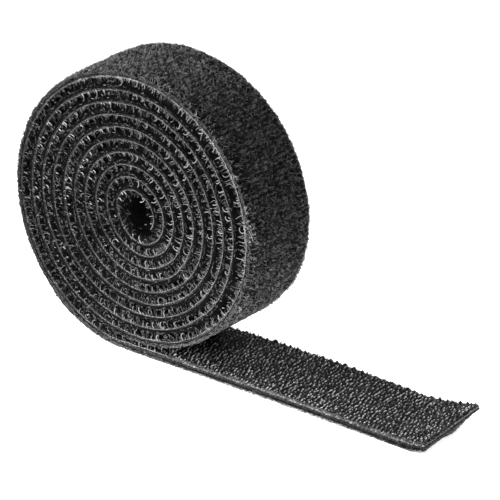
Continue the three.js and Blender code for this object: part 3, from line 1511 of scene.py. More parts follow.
        # Painted glints and painted light by side of the roll, as on the hooks, painted shade deep between
        # the turns and none in the eye.
        tone = ROLL_HOOK.painted_glint_tones(run, self._stems(s), self._crowns(s)).mean(axis=1)
        tone = tone * np.exp(-depth / self.painted_shade_depth) * np.where(on_pile, self.low_speck_tone, 1.0)
        shade = tone * draws.uniform(0, 1, count) ** 0.7 * (1.0 - self._in_eye(s))
        radii = self.speck_radius * draws.uniform(0.6, 1.2, count)
        parts = [Strands(along, across, height, radii, shade), self._bridges(span, draws)]
        return Strands.joined(parts).make(f"{span.name}_specks", self.path, self.YARN_SIDES, FILAMENT)

    def _bridges(self, span: Span, draws: np.random.Generator) -> Strands:
        """Hook strands that reach straight across the gap to the next turn.

        Args:
            span: The stretch.
            draws: Source of random values.

        Returns:
            The strands, none of them in the eye of the roll.
        """
        start = max(span.start, self.path.at_angle(self.bridge_start * FULL_TURN))
        end = max(start, min(span.end, self.path.at_angle((self.sizes.turns - 1.0) * FULL_TURN)))
        count = round(2 * self.bridges_per_mm * (end - start) / MM)
        each = (count, 1)
        t = steps(self.END_POINTS)
        s = draws.uniform(start, end, count)
        bow = arch(t) * draws.normal(0, 0.12, each)
        along = s[:, None] + (t * draws.normal(0, 0.3, each) + bow) * MM
        inset = draws.uniform(0.03, 0.6, each) * MM
        across = by_turns(count)[:, None] * (self.sizes.half_width - inset) + 0.0 * t
        slack = self.path.slack(self.path.turns_at(s))
        gap = (self.sizes.hook_height + self.sizes.winding_gap + slack)[:, None]
        height = self.sizes.hook_ground + gap * t * draws.uniform(0.75, 1.0, each)
        radii = self.bridge_radius * draws.uniform(0.7, 1.2, count)
        # Painted light: bridges are pale on the roll's right side and dark on its left.
        right = smoothstep(self._rightward(s), -0.3, 0.5)
        shade = (0.05 + 0.95 * right) * draws.uniform(0.1, 0.6, count)
        return Strands(along, across, height, radii, shade)

    def stitches(self, span: Span) -> bpy.types.Object:
        """The knotted stitches beside the selvedges of the tail.

        Args:
            span: The stretch.

        Returns:
            The piece.
        """
        count = round(span.length / self.stitch_pitch)
        t = steps(self.YARN_POINTS)
        draws = self.draws(span, Seed.STITCHES)
        parts = []
        for side, pale in ((-1.0, 1.0), (1.0, 0.5)):
            for row, (inset, level) in enumerate(self.stitch_rows):
                s = span.start + (np.arange(count) + 0.5 * (row % 2) + 0.25) * span.length / count
                s = s + draws.normal(0, 0.1, count) * MM
                y = side * (self.sizes.half_width - inset * MM) + draws.normal(0, 0.06, count) * MM
                slant = draws.uniform(-0.4, 0.4, count) * MM
                along = s[:, None] + (t - 0.5) * self.stitch_pitch * self.stitch_length
                across = y[:, None] + (t - 0.5) * slant[:, None]
                rise = draws.uniform(0.05, 0.35, count) * MM
                h = self.top(s, y)[:, None] + level * MM + rise[:, None] * arch(t)
                radii = self.stitch_radius * draws.uniform(0.7, 1.3, count)
                shade = pale * (0.03 + 0.4 * draws.uniform(0, 1, count) ** 3)
                parts.append(Strands(along, across, h, radii, shade))
        return Strands.joined(parts).make(f"{span.name}_stitches", self.path, self.CORD_SIDES, SELVEDGE)

    def cut_threads(self, span: Span) -> bpy.types.Object:
        """The ends of the ground's threads along the cut.

        Args:
            span: The stretch.

        Returns:
            The piece.
        """
        count = round(self.sizes.width / self.thread_pitch)
        draws = np.random.default_rng(Seed.CUT_THREADS).uniform(size=(4, count))
        y = self.across(count, 0.1 * MM)
        t = steps(self.END_POINTS)
        s = self.path.CUT + 0.25 * MM - t * (0.3 + 0.25 * draws[0][:, None]) * MM
        across = y[:, None] + t * 0.3 * MM * (draws[1][:, None] - 0.5)
        h = self.top(0 * y, y)[:, None] * (0.5 + 0.4 * draws[2][:, None]) - t**2 * 0.1 * MM
        radii = np.full(count, self.thread_radius)
        threads = Strands(s, across, h, radii, 0.06 + 0.2 * draws[3])
        return threads.make(f"{span.name}_cut_threads", self.path, self.YARN_SIDES, SELVEDGE)

    def _rows(self, span: Span, shape: HookShape) -> HookRows:
        """Where hooks stand on a stretch.

        Args:
            span: The stretch.
            shape: Its hooks.

        Returns:
            The hooks' feet.
        """
        half = self.sizes.half_width - shape.margin
        count = round(2 * half / shape.column_pitch) + 1
        first = math.floor(span.start / shape.row_pitch)
        last = math.ceil(span.end / shape.row_pitch)
        row, column = np.meshgrid(np.arange(first, last + 1), np.arange(count), indexing="ij")
        s = (row + shape.stagger * (column % 2)) * shape.row_pitch
        y = -half + 2 * half * column / (count - 1) + 0.0 * s
        start = max(span.start, self.end_margin)
        end = min(span.end, self.path.whole - self.end_margin)
        shown = (s >= start) & (s < end)
        if span.lie is Lie.WOUND:
            turns = self.path.turns_at(s)
            at_edge = (column < self.edge_columns) | (column >= count - self.edge_columns)
            in_mouth = turns < self.open_angle / FULL_TURN
            in_eye = turns > self.sizes.turns - 1.0
            shown &= at_edge | in_mouth | in_eye
        draws = self.draws(span, Seed.HOOKS).normal(size=(len(Draw), int(shown.sum())))
        draws = np.clip(draws, -self.DRAW_LIMIT, self.DRAW_LIMIT)
        turned = (row + column) % 2 == 0
        return HookRows(s[shown], y[shown], turned[shown], draws)

    def _ways(self, rows: HookRows, shape: HookShape) -> Array:
        """Which way each hook bends, as an angle from the way inward along the tape."""
        return np.where(rows.turned, *shape.ways) + shape.spread * rows.draws[Draw.WAY]

    def _shades(self, span: Span, rows: HookRows) -> Array:
        """Shade of each hook: some of the roll's are pale at random as painted glints, less often on the
        roll's left side, and those deep between its turns or in the eye get painted shade.

        Args:
            span: The stretch.
            rows: Its hooks.

        Returns:
            The shades.
        """
        chance = np.clip(0.5 + 0.24 * rows.draws[Draw.TONE], 0.0, 1.0)
        if span.lie is Lie.FLAT:
            return 0.35 + 0.65 * smoothstep(chance, 0.3, 0.65)
        # Painted shade deep between the turns and in the eye, and less painted glint on the roll's left
        # side.
        depth = self.sizes.half_width - np.abs(rows.y)
        turns = self.path.turns_at(rows.s)
        painted_depth_dimming = np.maximum(np.exp(-depth / self.painted_shade_depth), 1.0 - smoothstep(turns, 0.0, 0.06))
        painted_eye_dimming = 1.0 - self._in_eye(rows.s) * smoothstep(depth, 0.3 * MM, 1.5 * MM)
        painted_left_fewer = self.left_fewer_painted_glints * self.left(rows.s)
        return (0.05 + 0.95 * smoothstep(chance - painted_left_fewer, *self.lit_hooks)) * painted_depth_dimming * painted_eye_dimming

    def _stems(self, s: Array) -> Array:
        """Painted light on the strands: how many times their least tone is raised, more away from the roll's
        left side.
        """
        return 1.0 + self.painted_stem_gain * smoothstep(self._rightward(s), *self.painted_stem_sides)

    def _crowns(self, s: Array) -> Array:
        """Painted glints on the strands: the most tone that they have, less on the right side of the roll.
        """
        return 1.0 - self.painted_crown_loss * smoothstep(self._rightward(s), *self.painted_crown_sides)

    def hooks(self, span: Span) -> Iterator[bpy.types.Object]:
        """The cut loops of monofilament that stand on the ground.

        Args:
            span: The stretch.

        Yields:
            Pieces of as many hooks as one may hold.
        """
        flat = span.lie is Lie.FLAT
        shape = TAIL_HOOK if flat else ROLL_HOOK
        rows = self._rows(span, shape)
        shade = self._shades(span, rows)
        radii = (shape.filament * (1 + self.filament_vary * rows.draws[Draw.TONE]))[:, None]
        # Painted light on the roll's strands, by side of the roll.
        stems = np.ones(len(rows)) if flat else self._stems(rows.s)
        crowns = np.ones(len(rows)) if flat else self._crowns(rows.s)
        bent = self._bent(rows, shape)
        stubs = self._stubs(rows, shape)
        upright = np.tile(self.STUB_ACROSS, (len(rows), 1))
        most = MOST_TRIANGLES // (2 * shape.sides * (bent.shape[1] + stubs.shape[1]))
        for number, start in enumerate(range(0, len(rows), most)):
            some = slice(start, start + most)
            draft = MeshDraft()
            for lines, way in ((bent, None), (stubs, upright[some])):
                points, faces = tubes(lines[some], radii[some], shape.sides, way)
                # Painted glints on each strand, where it runs along the glint way.
                tone = shade[some][:, None] * shape.painted_glint_tones(lines[some], stems[some], crowns[some])
                feet = rows.s[some][:, None], rows.y[some][:, None]
                draft.add(points, strand_places(*feet, tone, shape.sides), faces)
            yield draft.make(f"{span.name}_hooks_{number + 1}", FILAMENT.material)

    def _stand(self, rows: HookRows, shape: HookShape, reach: Array, height: Array) -> Array:
        """Points of strands that stand on the ground.

        Args:
            rows: Their feet.
            shape: The hooks' shape.
            reach: How far each point lies along the way that its hook curls.
            height: How high it lies over the foot.

        Returns:
            The points, within the width of the tape.
        """
        way = self._ways(rows, shape)
        half = self.sizes.half_width
        along = (rows.s + self.jitter * rows.draws[Draw.ALONG])[:, None] + reach * np.cos(way)[:, None]
        across = (rows.y + self.jitter * rows.draws[Draw.ACROSS])[:, None] + reach * np.sin(way)[:, None]
        foot = self.top(rows.s, rows.y)[:, None] - self.sink
        return self.path.place(along, np.clip(across, -half, half), foot + height)

    def _bent(self, rows: HookRows, shape: HookShape) -> Array:
        """Points of the bent strands.

        Args:
            rows: Their feet.
            shape: The hooks' shape.

        Returns:
            Points by strand.
        """
        stem = shape.stem * (1 + shape.vary * rows.draws[Draw.STEM])[:, None]
        crown = shape.crown * (1 + shape.vary * rows.draws[Draw.CROWN])[:, None]
        lean = (shape.lean + self.lean_vary * rows.draws[Draw.LEAN])[:, None]
        sweep = shape.sweep * (1 + shape.vary * rows.draws[Draw.SWEEP])[:, None]
        rise = steps(shape.stem_points)
        turn = lean + sweep * steps(shape.arc_points + 1)[:, 1:]
        over = stem * np.sin(lean) + crown * (np.cos(lean) - np.cos(turn))
        top = stem * np.cos(lean) + crown * (np.sin(turn) - np.sin(lean))
        reach = np.concatenate([stem * rise * np.sin(lean), over], axis=1)
        height = np.concatenate([stem * rise * np.cos(lean), top], axis=1)
        return self._stand(rows, shape, reach, height)

    def _stubs(self, rows: HookRows, shape: HookShape) -> Array:
        """Points of the straight strands that the cut left beside the bent ones.

        Args:
            rows: Feet of the hooks.
            shape: The hooks' shape.

        Returns:
            Points by strand.
        """
        apart = self.stub_gap * (1 + self.stub_vary * rows.draws[Draw.STEM])[:, None]
        vary = (1 + self.stub_vary * rows.draws[Draw.CROWN])[:, None]
        height = steps(self.END_POINTS) * shape.stub * vary
        reach = apart + 0.25 * height * rows.draws[Draw.LEAN][:, None]
        return self._stand(rows, shape, reach, height)


@dataclass
class BondFilm(Layer):
    """The adhesive film between the hook ground and the loop fabric."""

    inset: float = 0.06 * MM
    step: float = 0.8 * MM
    lump: float = 0.02 * MM
    lump_size: float = 1.3 * MM

    def build(self, span: Span) -> None:
        """Builds and dresses the film of a stretch.

        Args:
            span: The stretch.
        """
        s, y = span.samples(self.step), self.edge_lines(self.inset)
        lumps = 1 + clumps(s[:, None], y, self.lump_size, Seed.FILM)
        low = -self.sizes.bond_film - self.lump * lumps
        draft = MeshDraft()
        draft.add(*closed_strip(self.path, s, y, low, np.full_like(low, 0.0)))
        piece = draft.make(f"{span.name}_film", FILM.material)
        self.finish_piece(piece, span, Slot.BOND_FILM, stands_for=True)


@dataclass(frozen=True)
class Tuft:
    """One kind of relief in the pile: its lengths along and across, its depth and its seed."""

    along: float
    across: float
    depth: float
    seed: int

    def relief(self, s: Array, y: Array) -> Array:
        """Depth of its pits, less that of its crests."""
        return self.depth * clumps(s, y * (self.along / self.across), self.along, self.seed)


@dataclass
class LoopTape(Layer):
    """The loop fabric with its brushed pile."""

    LOOP_POINTS: ClassVar[int] = 5
    LOOP_SIDES: ClassVar[int] = 3
    outer_turns: float = 1.06
    outer_step: float = 0.32 * MM
    flat_step: float = 0.42 * MM
    inner_step: float = 1.1 * MM
    tufts: tuple[Tuft, ...] = (
        Tuft(along=0.5 * MM, across=0.5 * MM, depth=0.09 * MM, seed=3),
        Tuft(along=0.9 * MM, across=0.9 * MM, depth=0.1 * MM, seed=5),
        Tuft(along=0.8 * MM, across=4.0 * MM, depth=0.1 * MM, seed=7),
        Tuft(along=4.5 * MM, across=4.5 * MM, depth=0.07 * MM, seed=9),
    )
    nap_by_turns: tuple[tuple[float, float], ...] = (
        (0.0, 0.22),
        (0.04, 0.5),
        (0.08, 0.8),
        (0.14, 0.6),
        (0.24, 0.38),
        (0.36, 0.08),
        (0.5, 0.22),
        (0.56, 0.36),
        (0.64, 0.55),
        (0.75, 0.6),
        (0.83, 0.36),
        (0.87, 0.0),
        (0.94, 0.0),
        (1.0, 0.22),
    )
    edge_round: float = 0.6 * MM
    edge_drop: float = 0.3 * MM
    edge_painted_shade: float = 0.94
    corner_droop: float = 0.3 * MM
    droop_reach: float = 16.0 * MM
    corner_pinch: float = 0.45 * MM
    end_bulge: float = 0.35 * MM
    end_thin: float = 0.3 * MM
    end_reach: float = 4.0 * MM
    bulge_middle: float = 1.0 * MM
    bulge_width: float = 2.5 * MM
    bulge_loops_width: float = 2.0 * MM
    middle_fill: float = 1.1 * MM
    fill_margin: float = 2.5 * MM
    course: float = 1.0 * MM
    course_spread: float = 0.18
    outer_loops_per_mm2: float = 5.0
    flat_loops_per_mm2: float = 1.0
    loop_rises: tuple[float, float] = (0.05, 0.35)
    fuzz_per_mm2: float = 3.0
    fuzz_rises: tuple[float, float] = (0.3, 0.8)
    rim_turns: tuple[float, float] = (0.56, 0.84)
    rim_hairs_per_mm: float = 9.0
    rim_hair_rises: tuple[float, float] = (0.1, 0.5)
    pressed_turns: tuple[float, float] = (0.8, 0.88)
    pressed: float = 0.85
    worn: float = 0.45
    left_dark: float = 0.55
    edge_loops_per_mm: float = 3.0
    open_edge_loops_per_mm: float = 14.0
    end_loops_per_mm: float = 40.0
    yarn: float = 0.05 * MM
    yarn_range: tuple[float, float] = (0.5, 1.4)
    fibre: float = 0.03 * MM

    def build(self, span: Span) -> None:
        """Builds and dresses the fabric and the pile.

        Args:
            span: The stretch.
        """
        for number, part in enumerate(self._parts(span)):
            fabric = self.fabric(part, f"{span.name}_fabric_{number + 1}")
            pile = list(self.pile(part, f"{span.name}_pile_{number + 1}"))
            self.finish_piece(fabric, span, Slot.LOOP_TAPE, stands_for=True)
            for piece in pile:
                self.finish_piece(piece, span, Slot.LOOP_TAPE, stands_for=False)
            flat = (self.sizes.width, part.length)

    def _parts(self, span: Span) -> list[Span]:
        """The outer turn of the roll apart from its other turns, or a stretch by itself.

        Args:
            span: The stretch.

        Returns:
            Its parts.
        """
        cut = self.path.at_angle(self.outer_turns * FULL_TURN)
        if not span.start < cut < span.end:
            return [span]
        return [replace(span, end=cut), replace(span, start=cut)]

    def _open(self, part: Span) -> bool:
        """Whether a stretch shows its pile face."""
        return part.lie is Lie.FLAT or self.path.turns_at(part.end) < self.outer_turns + 0.01

    def face(self, s: Array, y: Array) -> Array:
        """Height of the pile face.

        Args:
            s: Lengths along the tape.
            y: Distances across it.

        Returns:
            Heights below the datum line.
        """
        turns = self.path.turns_at(s)
        from_edge = self.sizes.half_width - np.abs(y)
        from_cut = np.minimum(s - self.path.CUT, self.path.whole - s)
        near_edge = 1 - smoothstep(np.minimum(from_edge, from_cut), 0, self.edge_round)
        edge = self.edge_drop * near_edge
        inner = smoothstep(turns, 1.0, self.outer_turns)
        fill = self.middle_fill * inner * smoothstep(from_edge, 0.6 * MM, self.fill_margin)
        nap = np.interp(turns, *zip(*self.nap_by_turns, strict=True)) * MM * (1 - inner)
        return -self.sizes.bond_film - self._thick(s, y) - nap + self.relief(s, y) + edge - fill

    def _thick(self, s: Array, y: Array) -> Array:
        """Depth of the fabric, which hangs at the near corner of the cut end and is thin at the far one.

        Args:
            s: Lengths along the tape.
            y: Distances across it.

        Returns:
            The depths.
        """
        at_end = smoothstep(s, 0.0, self.end_reach)
        near = 1.0 - smoothstep(y, -self.sizes.half_width, 0.0)
        hung = (0.3 + 0.7 * at_end) * (1.0 - smoothstep(s, self.end_reach, self.droop_reach))
        droop = self.corner_droop * near * hung
        swell = self.end_bulge * self._bulge(y, self.bulge_width) - self.end_thin
        bulge = swell * (1.0 - at_end)
        return self.sizes.loop_fabric + droop + bulge - self.corner_pinch * self.far_corner(s, y)

    def _bulge(self, y: Array, width: float) -> Array:
        """One in the middle of the cut end's bulge, and less away from it."""
        return np.exp(-(((y - self.bulge_middle) / width) ** 2))

    def relief(self, s: Array, y: Array) -> Array:
        """Depth of the pits between the tufts, less that of the tufts."""
        return sum(tuft.relief(s, y) for tuft in self.tufts)

    def shade(self, s: Array, y: Array) -> Array:
        """Shade of the pile, with painted shade in its pits and at the edges of the inner turns, between the
        turns.

        Args:
            s: Lengths along the tape.
            y: Distances across it.

        Returns:
            The shades.
        """
        depth = sum(tuft.depth for tuft in self.tufts)
        crest = np.clip(0.4 - 1.7 * self.relief(s, y) / depth, 0.0, 1.0)
        inner = smoothstep(self.path.turns_at(s), 0.9, self.outer_turns)
        from_edge = self.sizes.half_width - np.abs(y)
        return crest * (1.0 - self.edge_painted_shade * inner * (1.0 - smoothstep(from_edge, 0.2 * MM, 1.2 * MM)))

    def fabric(self, part: Span, name: str) -> bpy.types.Object:
        """The knitted strip with its tufted face.

        Args:
            part: The stretch.
            name: The piece's name.

        Returns:
            The piece.
        """
        if self._open(part):
            step = self.flat_step if part.lie is Lie.FLAT else self.outer_step
            y = self.across(round(self.sizes.width / step) + 1, 0.0)
        else:
            step = self.inner_step
            y = self.edge_lines(0.0)
        s = part.samples(step)
        low = self.face(s[:, None], y)
        high = np.full_like(low, -self.sizes.bond_film)
        draft = MeshDraft()
        draft.add(*closed_strip(self.path, s, y, low, high, self.shade(s[:, None], y)))
        return draft.make(name, PILE.material)

    def pile(self, part: Span, name: str) -> Iterator[bpy.types.Object]:
        """The loops of yarn over the face and along both edges.

        Args:
            part: The stretch.
            name: How the pieces' names begin.

        Yields:
            Pieces of as many loops as one may hold.
        """
        draws = self.draws(part, Seed.PILE)
        per_mm = self.open_edge_loops_per_mm if self._open(part) else self.edge_loops_per_mm
        bundles = [self._edge_loops(part, round(2 * per_mm * part.length / MM), draws)]
        area = part.length * self.sizes.width / MM**2
        if self._open(part):
            density = self.flat_loops_per_mm2 if part.lie is Lie.FLAT else self.outer_loops_per_mm2
            bundles.append(self._face_loops(part, round(density * area), self.loop_rises, draws))
        if self._open(part) and part.lie is Lie.WOUND:
            bundles.append(self._fuzz(part, round(self.fuzz_per_mm2 * area), draws))
            bundles.append(self._rim_hairs(part, draws))
        if part.start == self.path.CUT:
            many = round(self.end_loops_per_mm * self.sizes.width / MM)
            bundles.append(self._end_loops(many, draws))
        strands = Strands.joined(bundles)
        most = MOST_TRIANGLES // (2 * self.LOOP_POINTS * self.LOOP_SIDES)
        for number, start in enumerate(range(0, len(strands.s), most)):
            some = strands.some(start, start + most)
            yield some.make(f"{name}_{number + 1}", self.path, self.LOOP_SIDES, PILE_YARN)

    def _fuzz(self, part: Span, count: int, draws: np.random.Generator) -> Strands:
        """Fine fibres brushed out of the pile face.

        Args:
            part: The stretch.
            count: How many fibres.
            draws: Source of random values.

        Returns:
            The fibres.
        """
        fuzz = self._face_loops(part, count, self.fuzz_rises, draws)
        # Painted rim light along both edges, and painted shade on the roll's right side.
        pale = draws.uniform(0, 1, count) ** 2 * self._painted_rim_light(fuzz) * self._worn(fuzz.s[:, 0])
        return replace(fuzz, radii=np.full(count, self.fibre), shade=pale)

    def _rim_hairs(self, part: Span, draws: np.random.Generator) -> Strands:
        """Pale hairs that stand free along the far edge of the outer turn, above the tail.

        Args:
            part: The stretch.
            draws: Source of random values.

        Returns:
            The hairs.
        """
        ends = [self.path.at_angle(turns * FULL_TURN) for turns in self.rim_turns]
        rim = Span(part.name, *ends, part.lie)
        count = round(self.rim_hairs_per_mm * rim.length / MM)
        hairs = self._face_loops(rim, count, self.rim_hair_rises, draws)
        from_edge = draws.uniform(0.0, 1.0, count)[:, None] * MM
        across = self.sizes.half_width - from_edge + hairs.y - hairs.y.mean(axis=1, keepdims=True)
        pale = 0.15 + 0.7 * draws.uniform(0, 1, count) ** 2
        return replace(hairs, y=across, radii=np.full(count, self.fibre), shade=pale)

    def _painted_rim_light(self, fuzz: Strands) -> Array:
        """Painted rim light: how much paler the fuzz is in patches along both edges, where it stands free.

        Args:
            fuzz: The fibres.

        Returns:
            How many times paler each fibre is.
        """
        s, y = fuzz.s[:, 0], fuzz.y[:, 0]
        patch = 0.6 + 0.4 * clumps(s, np.sign(y), 4.0 * MM, Seed.RIM_PATCH)
        from_edge = self.sizes.half_width - np.abs(y)
        return 1.0 + patch * (1.0 - smoothstep(from_edge, 0.3 * MM, 1.6 * MM))

    def _face_loops(
        self, part: Span, count: int, rises: tuple[float, float], draws: np.random.Generator
    ) -> Strands:
        """Loops that stand on the pile face.

        Args:
            part: The stretch.
            count: How many loops.
            rises: Least and most height of a loop in millimetres.
            draws: Source of random values.

        Returns:
            The loops.
        """
        t = steps(self.LOOP_POINTS)
        s = draws.uniform(part.start, part.end, count)[:, None]
        stray = draws.normal(0, self.course_spread, (count, 1)) * self.course
        s = np.clip((np.floor(s / self.course) + 0.5) * self.course + stray, part.start, part.end)
        y = draws.uniform(-1, 1, count)[:, None] * (self.sizes.half_width - 0.15 * MM)
        way = math.pi / 2 + draws.normal(0, 0.8, count)[:, None]
        span = draws.uniform(0.4, 1.0, count)[:, None] * MM
        rise = draws.uniform(*rises, count)[:, None] * MM * self._standing(s)
        skew = draws.uniform(-0.3, 0.3, (2, count))[:, :, None] * MM
        along = s + (t - 0.5) * span * np.cos(way) + skew[0] * arch(t)
        across = y + (t - 0.5) * span * np.sin(way) + skew[1] * arch(t)
        height = self.face(along, across) + 0.03 * MM - rise * arch(t)
        radii = self.yarn * draws.uniform(*self.yarn_range, count)
        # Painted shade on the roll's right side.
        shade = draws.uniform(0, 1, count) ** 4 * self._worn(s[:, 0])
        return Strands(along, across, height, radii, shade)

    def _standing(self, s: Array) -> Array:
        """How high the yarn stands: less so over the foot of the tail, which presses on it."""
        return 1.0 - self.pressed * smoothstep(self.path.turns_at(s), *self.pressed_turns)

    def _worn(self, s: Array) -> Array:
        """Painted shade on the yarn: darker on the roll's right side, over the tail."""
        turns = self.path.turns_at(s)
        return 1.0 - self.worn * smoothstep(turns, 0.52, 0.62) * (1.0 - smoothstep(turns, 0.72, 0.82))

    def _edge_loops(self, part: Span, count: int, draws: np.random.Generator) -> Strands:
        """Loops that stand out of both cut edges of the pile.

        Args:
            part: The stretch.
            count: How many loops.
            draws: Source of random values.

        Returns:
            The loops.
        """
        t = steps(self.LOOP_POINTS)
        s = draws.uniform(part.start, part.end, count)[:, None]
        side = by_turns(count)[:, None]
        span = draws.uniform(0.25, 0.8, count)[:, None] * MM
        drop = draws.uniform(-0.3, 0.35, count)[:, None] * MM
        rise = draws.uniform(0.03, 0.22, count)[:, None] * MM
        inner = smoothstep(self.path.turns_at(s), 0.9, self.outer_turns)
        height = draws.uniform(0.2, 1.0, count)[:, None] * (1.25 - 0.3 * inner)
        along = s + (t - 0.5) * span
        across = side * (self.sizes.half_width - 0.05 * MM + rise * arch(t))
        thick = self._thick(s, side * self.sizes.half_width)
        level = -self.sizes.bond_film - height * thick - drop * (t - 0.5) + 0.0 * along
        radii = self.yarn * draws.uniform(*self.yarn_range, count)
        chance = draws.uniform(0, 1, count)
        # Painted light: on the tail, painted shade on loops just under the film and paler lower loops as
        # painted light from the floor; painted shade on the roll's left side and on loops between the inner
        # turns.
        low = smoothstep(height[:, 0], 0.35, 0.75) if part.lie is Lie.FLAT else 0.5
        shown = low * (0.1 + 0.5 * chance) * (1.0 - self.left_dark * self.left(s[:, 0]))
        painted_gap_shade = 0.4 * chance**5
        return Strands(along, across, level, radii, shown + (painted_gap_shade - shown) * inner[:, 0])

    def _end_loops(self, count: int, draws: np.random.Generator) -> Strands:
        """Loops that hang ragged from the cut end of the pile.

        Args:
            count: How many loops.
            draws: Source of random values.

        Returns:
            The loops.
        """
        t = steps(self.LOOP_POINTS)
        y = draws.uniform(-1, 1, count)[:, None] * (self.sizes.half_width - 0.2 * MM)
        hang = 0.45 * MM * np.maximum(clumps(0 * y, y, 3.1 * MM, Seed.END_HANG), 0.0) - 0.2 * MM
        depth = draws.uniform(0.1, 1.0, count)[:, None]
        level = -self.sizes.bond_film - depth * (self._thick(self.path.CUT, y) + hang)
        reach = draws.uniform(0.05, 0.3, count)[:, None] * MM
        span = draws.uniform(0.3, 0.8, count)[:, None] * MM
        tilt = draws.uniform(-0.3, 0.3, count)[:, None] * MM
        radii = self.yarn * draws.uniform(*self.yarn_range, count)
        along = self.path.CUT + 0.15 * MM - reach * arch(t)
        across = y + (t - 0.5) * span
        bulge = self._bulge(y, self.bulge_loops_width)
        shade = draws.uniform(0.05, 0.28, count) + 0.3 * (depth * bulge)[:, 0]
        return Strands(along, across, level + tilt * (t - 0.5), radii, shade)


@dataclass(frozen=True)
class Lamp:
    """A square studio lamp."""

    name: str
    direction: Point
    distance: float
    size: float
    level: float

    def place(self, target: Vector) -> None:
        """Hangs the lamp so that it gives its level at the target.

        Args:
            target: The point it is aimed at.
        """
        data = bpy.data.lights.new(self.name, "AREA")
        data.size = self.size
        data.energy = self.level * math.pi**2 * self.distance**2
        lamp = bpy.data.objects.new(self.name, data)
        back = Vector(self.direction).normalized()
        lamp.location = target + back * self.distance
        lamp.rotation_mode = "QUATERNION"
        lamp.rotation_quaternion = back.to_track_quat("Z", "Y")
        bpy.context.scene.collection.objects.link(lamp)


@dataclass
class Studio:
    """The camera, the lamps, the floor and the light all round."""

    target: Vector
    azimuth: float = math.radians(35.747)
    elevation: float = math.radians(23.995)
    roll: float = math.radians(2.459)
    distance: float = 1.24225
    focal_pixels: float = 6000.0
    sensor: float = 36.0
    lamps: tuple[Lamp, ...] = (
        Lamp("key_lamp", direction=(-1.0, -0.4, 0.9), distance=0.8, size=0.5, level=0.95),
        Lamp("front_lamp", direction=(-0.05, -1.0, 0.6), distance=0.9, size=0.6, level=0.4),
        Lamp("back_lamp", direction=(0.2, 0.9, 0.7), distance=0.8, size=0.4, level=0.55),
    )
    lamp_aim: Point = (0.0, 0.0, 0.03)
    clip: tuple[float, float] = (0.1, 10.0)
    sky: float = 0.14
    floor_half: float = 3.0
    floor_grey: float = 0.9
    floor_roughness: float = 0.8
    floor_lift: float = 0.88
    floor_glow: float = 0.45
    near_glow: float = 2.8
    near_reach: float = 0.12
    floor_depth: float = 0.05 * MM

    def build(self) -> None:
        """Sets the camera, the lamps and the surroundings."""
        self._camera()
        for lamp in self.lamps:
            lamp.place(Vector(self.lamp_aim))
        self._sky()
        self._floor()
        bpy.context.scene.view_settings.view_transform = "Standard"

    def _camera(self) -> None:
        """The camera at the photograph's angle."""
        flat = math.cos(self.elevation)
        sine, cosine = math.sin(self.azimuth), math.cos(self.azimuth)
        back = Vector((sine * flat, -cosine * flat, math.sin(self.elevation)))
        right = Vector((cosine, sine, 0.0))
        up = back.cross(right)
        turn = Matrix.Rotation(self.roll, 3, back)
        turned = Matrix((turn @ right, turn @ up, back)).transposed()
        data = bpy.data.cameras.new("camera")
        data.sensor_width = self.sensor
        data.lens = self.sensor * self.focal_pixels / IMAGE_PIXELS
        data.clip_start, data.clip_end = self.clip
        camera = bpy.data.objects.new("camera", data)
        camera.matrix_world = Matrix.Translation(self.target + back * self.distance) @ turned.to_4x4()
        bpy.context.scene.collection.objects.link(camera)
        bpy.context.scene.camera = camera

    @staticmethod
    def _seen(desk: NodeDesk) -> bpy.types.NodeSocket:
        """One for rays that show the surroundings, and none for those that light the object.

        Args:
            desk: The material's desk.

        Returns:
            The value.
        """
        path = desk.add("ShaderNodeLightPath").outputs
        shiny = desk.math("MAXIMUM", path["Is Glossy Ray"], path["Is Transmission Ray"])
        return desk.math("MAXIMUM", path["Is Camera Ray"], shiny)

    def _sky(self) -> None:
        """White where it is seen, and softer as a light."""
        world = bpy.data.worlds.new("soft_sky")
        world.use_nodes = True
        desk = NodeDesk(world.node_tree)
        background = world.node_tree.nodes["Background"]
        background.inputs["Color"].default_value = (1.0, 1.0, 1.0, 1.0)
        camera = desk.add("ShaderNodeLightPath").outputs["Is Camera Ray"]
        extra = desk.math("MULTIPLY", camera, 1.0 - self.sky)
        desk.feed(background.inputs["Strength"], desk.math("ADD", extra, self.sky))
        bpy.context.scene.world = world

    def _glow(self, desk: NodeDesk) -> bpy.types.NodeSocket:
        """How much light the floor sends up: more close to the object than far from it.

        Args:
            desk: The material's desk.

        Returns:
            The strength.
        """
        away = desk.add("ShaderNodeVectorMath", operation="LENGTH")
        desk.feed(away.inputs[0], desk.add("ShaderNodeNewGeometry").outputs["Position"])
        close = desk.math("SUBTRACT", 1.0, desk.remap(away.outputs["Value"], 0.0, self.near_reach))
        return desk.math("ADD", desk.math("MULTIPLY", close, self.near_glow), self.floor_glow)

    def _floor(self) -> None:
        """A plain pale floor that keeps the shadow."""
        half, low = self.floor_half, -self.floor_depth
        mesh = bpy.data.meshes.new("floor")
        corners = [(-half, -half, low), (half, -half, low), (half, half, low), (-half, half, low)]
        mesh.from_pydata(corners, [], [(0, 1, 2, 3)])
        material = bpy.data.materials.new("pale_floor")
        material.use_nodes = True
        desk = NodeDesk(material.node_tree)
        shader = material.node_tree.nodes["Principled BSDF"]
        shader.inputs["Base Color"].default_value = rgba((self.floor_grey,) * 3)
        shader.inputs["Roughness"].default_value = self.floor_roughness
        shader.inputs["Emission Color"].default_value = rgba((1.0, 1.0, 1.0))
        glow = self._glow(desk)
        extra = desk.math("MULTIPLY", self._seen(desk), desk.math("SUBTRACT", self.floor_lift, glow))
        desk.feed(shader.inputs["Emission Strength"], desk.math("ADD", extra, glow))
        mesh.materials.append(material)
        floor = bpy.data.objects.new("floor", mesh)
        bpy.context.scene.collection.objects.link(floor)


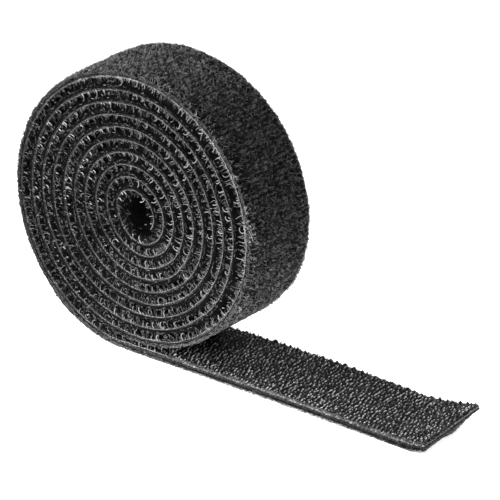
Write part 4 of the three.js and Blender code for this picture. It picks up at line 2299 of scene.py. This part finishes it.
@dataclass
class TapeRoll:
    """The whole roll: five stretches of tape of three layers each."""

    path: TapePath
    pivots: dict[str, Point]
    peel_reach: float = 4.0 * MM
    bend_reach: float = 6.0 * MM
    inner_reach: float = 2.0 * MM
    root_lap: float = 4.0 * MM
    inner_lap: float = math.radians(100)

    def spans(self) -> list[Span]:
        """The stretches, from the cut end inward.

        Returns:
            The five stretches.
        """
        path, sizes = self.path, self.path.sizes
        lines = [self.pivots[name][0] - path.axis_x for name in ("tail_peel", "tail_bend", "tip_lift")]
        inner = sizes.turns * FULL_TURN - sizes.inner_end_angle
        cuts = [
            path.CUT,
            path.at_tail((lines[1] + lines[2]) / 2),
            path.at_tail((lines[0] + lines[1]) / 2),
            path.at_tail(lines[0] - self.root_lap),
            path.at_angle(inner - self.inner_lap),
            path.whole,
        ]
        way = (-math.cos(inner), 0.0, math.sin(inner))
        straight = (1.0, 0.0, 0.0)
        return [
            Span("tail_tip", cuts[0], cuts[1], Lie.FLAT,
                 self._bend("tip_lift", "tail_middle", "tail_tip", straight, self.bend_reach)),
            Span("tail_middle", cuts[1], cuts[2], Lie.FLAT,
                 self._bend("tail_bend", "tail_near", "tail_middle", straight, self.bend_reach)),
            Span("tail_near", cuts[2], cuts[3], Lie.FLAT,
                 self._bend("tail_peel", "roll", "tail_near", straight, self.peel_reach)),
            Span("roll", cuts[3], cuts[4], Lie.WOUND),
            Span("inner_end", cuts[4], cuts[5], Lie.WOUND,
                 self._bend("inner_end_flex", "roll", "inner_end", way, self.inner_reach)),
        ]

    def _bend(self, joint: str, parent: str, child: str, way: Point, reach: float) -> Bend:
        """A bend that reaches as far before a joint's pivot as after it."""
        pivot, half = Vector(self.pivots[joint]), Vector(way) * reach
        return Bend(parent, child, tuple(pivot - half), tuple(pivot + half))

    def build(self) -> None:
        """Builds every layer of every stretch."""
        layers = (HookTape(self.path), BondFilm(self.path), LoopTape(self.path))
        for span in self.spans():
            for layer in layers:
                layer.build(span)


def main() -> None:
    """Builds the roll and its studio."""
    logging.basicConfig(level=logging.INFO, format="%(message)s")
    pivots = {joint["name"]: tuple(joint["pos_m"]) for joint in frame["joints"]}
    low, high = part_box("roll_hook_tape")
    sizes = TapeSizes(width=high.y - low.y)
    axis_x = pivots["tip_lift"][0] - (sizes.tail_length - sizes.tip_length)
    path = TapePath(sizes, axis_x)
    Studio(target=Vector((axis_x + VIEW_AHEAD, 0.0, VIEW_HEIGHT))).build()
    TapeRoll(path, pivots).build()


if __name__ == "__main__":
    main()
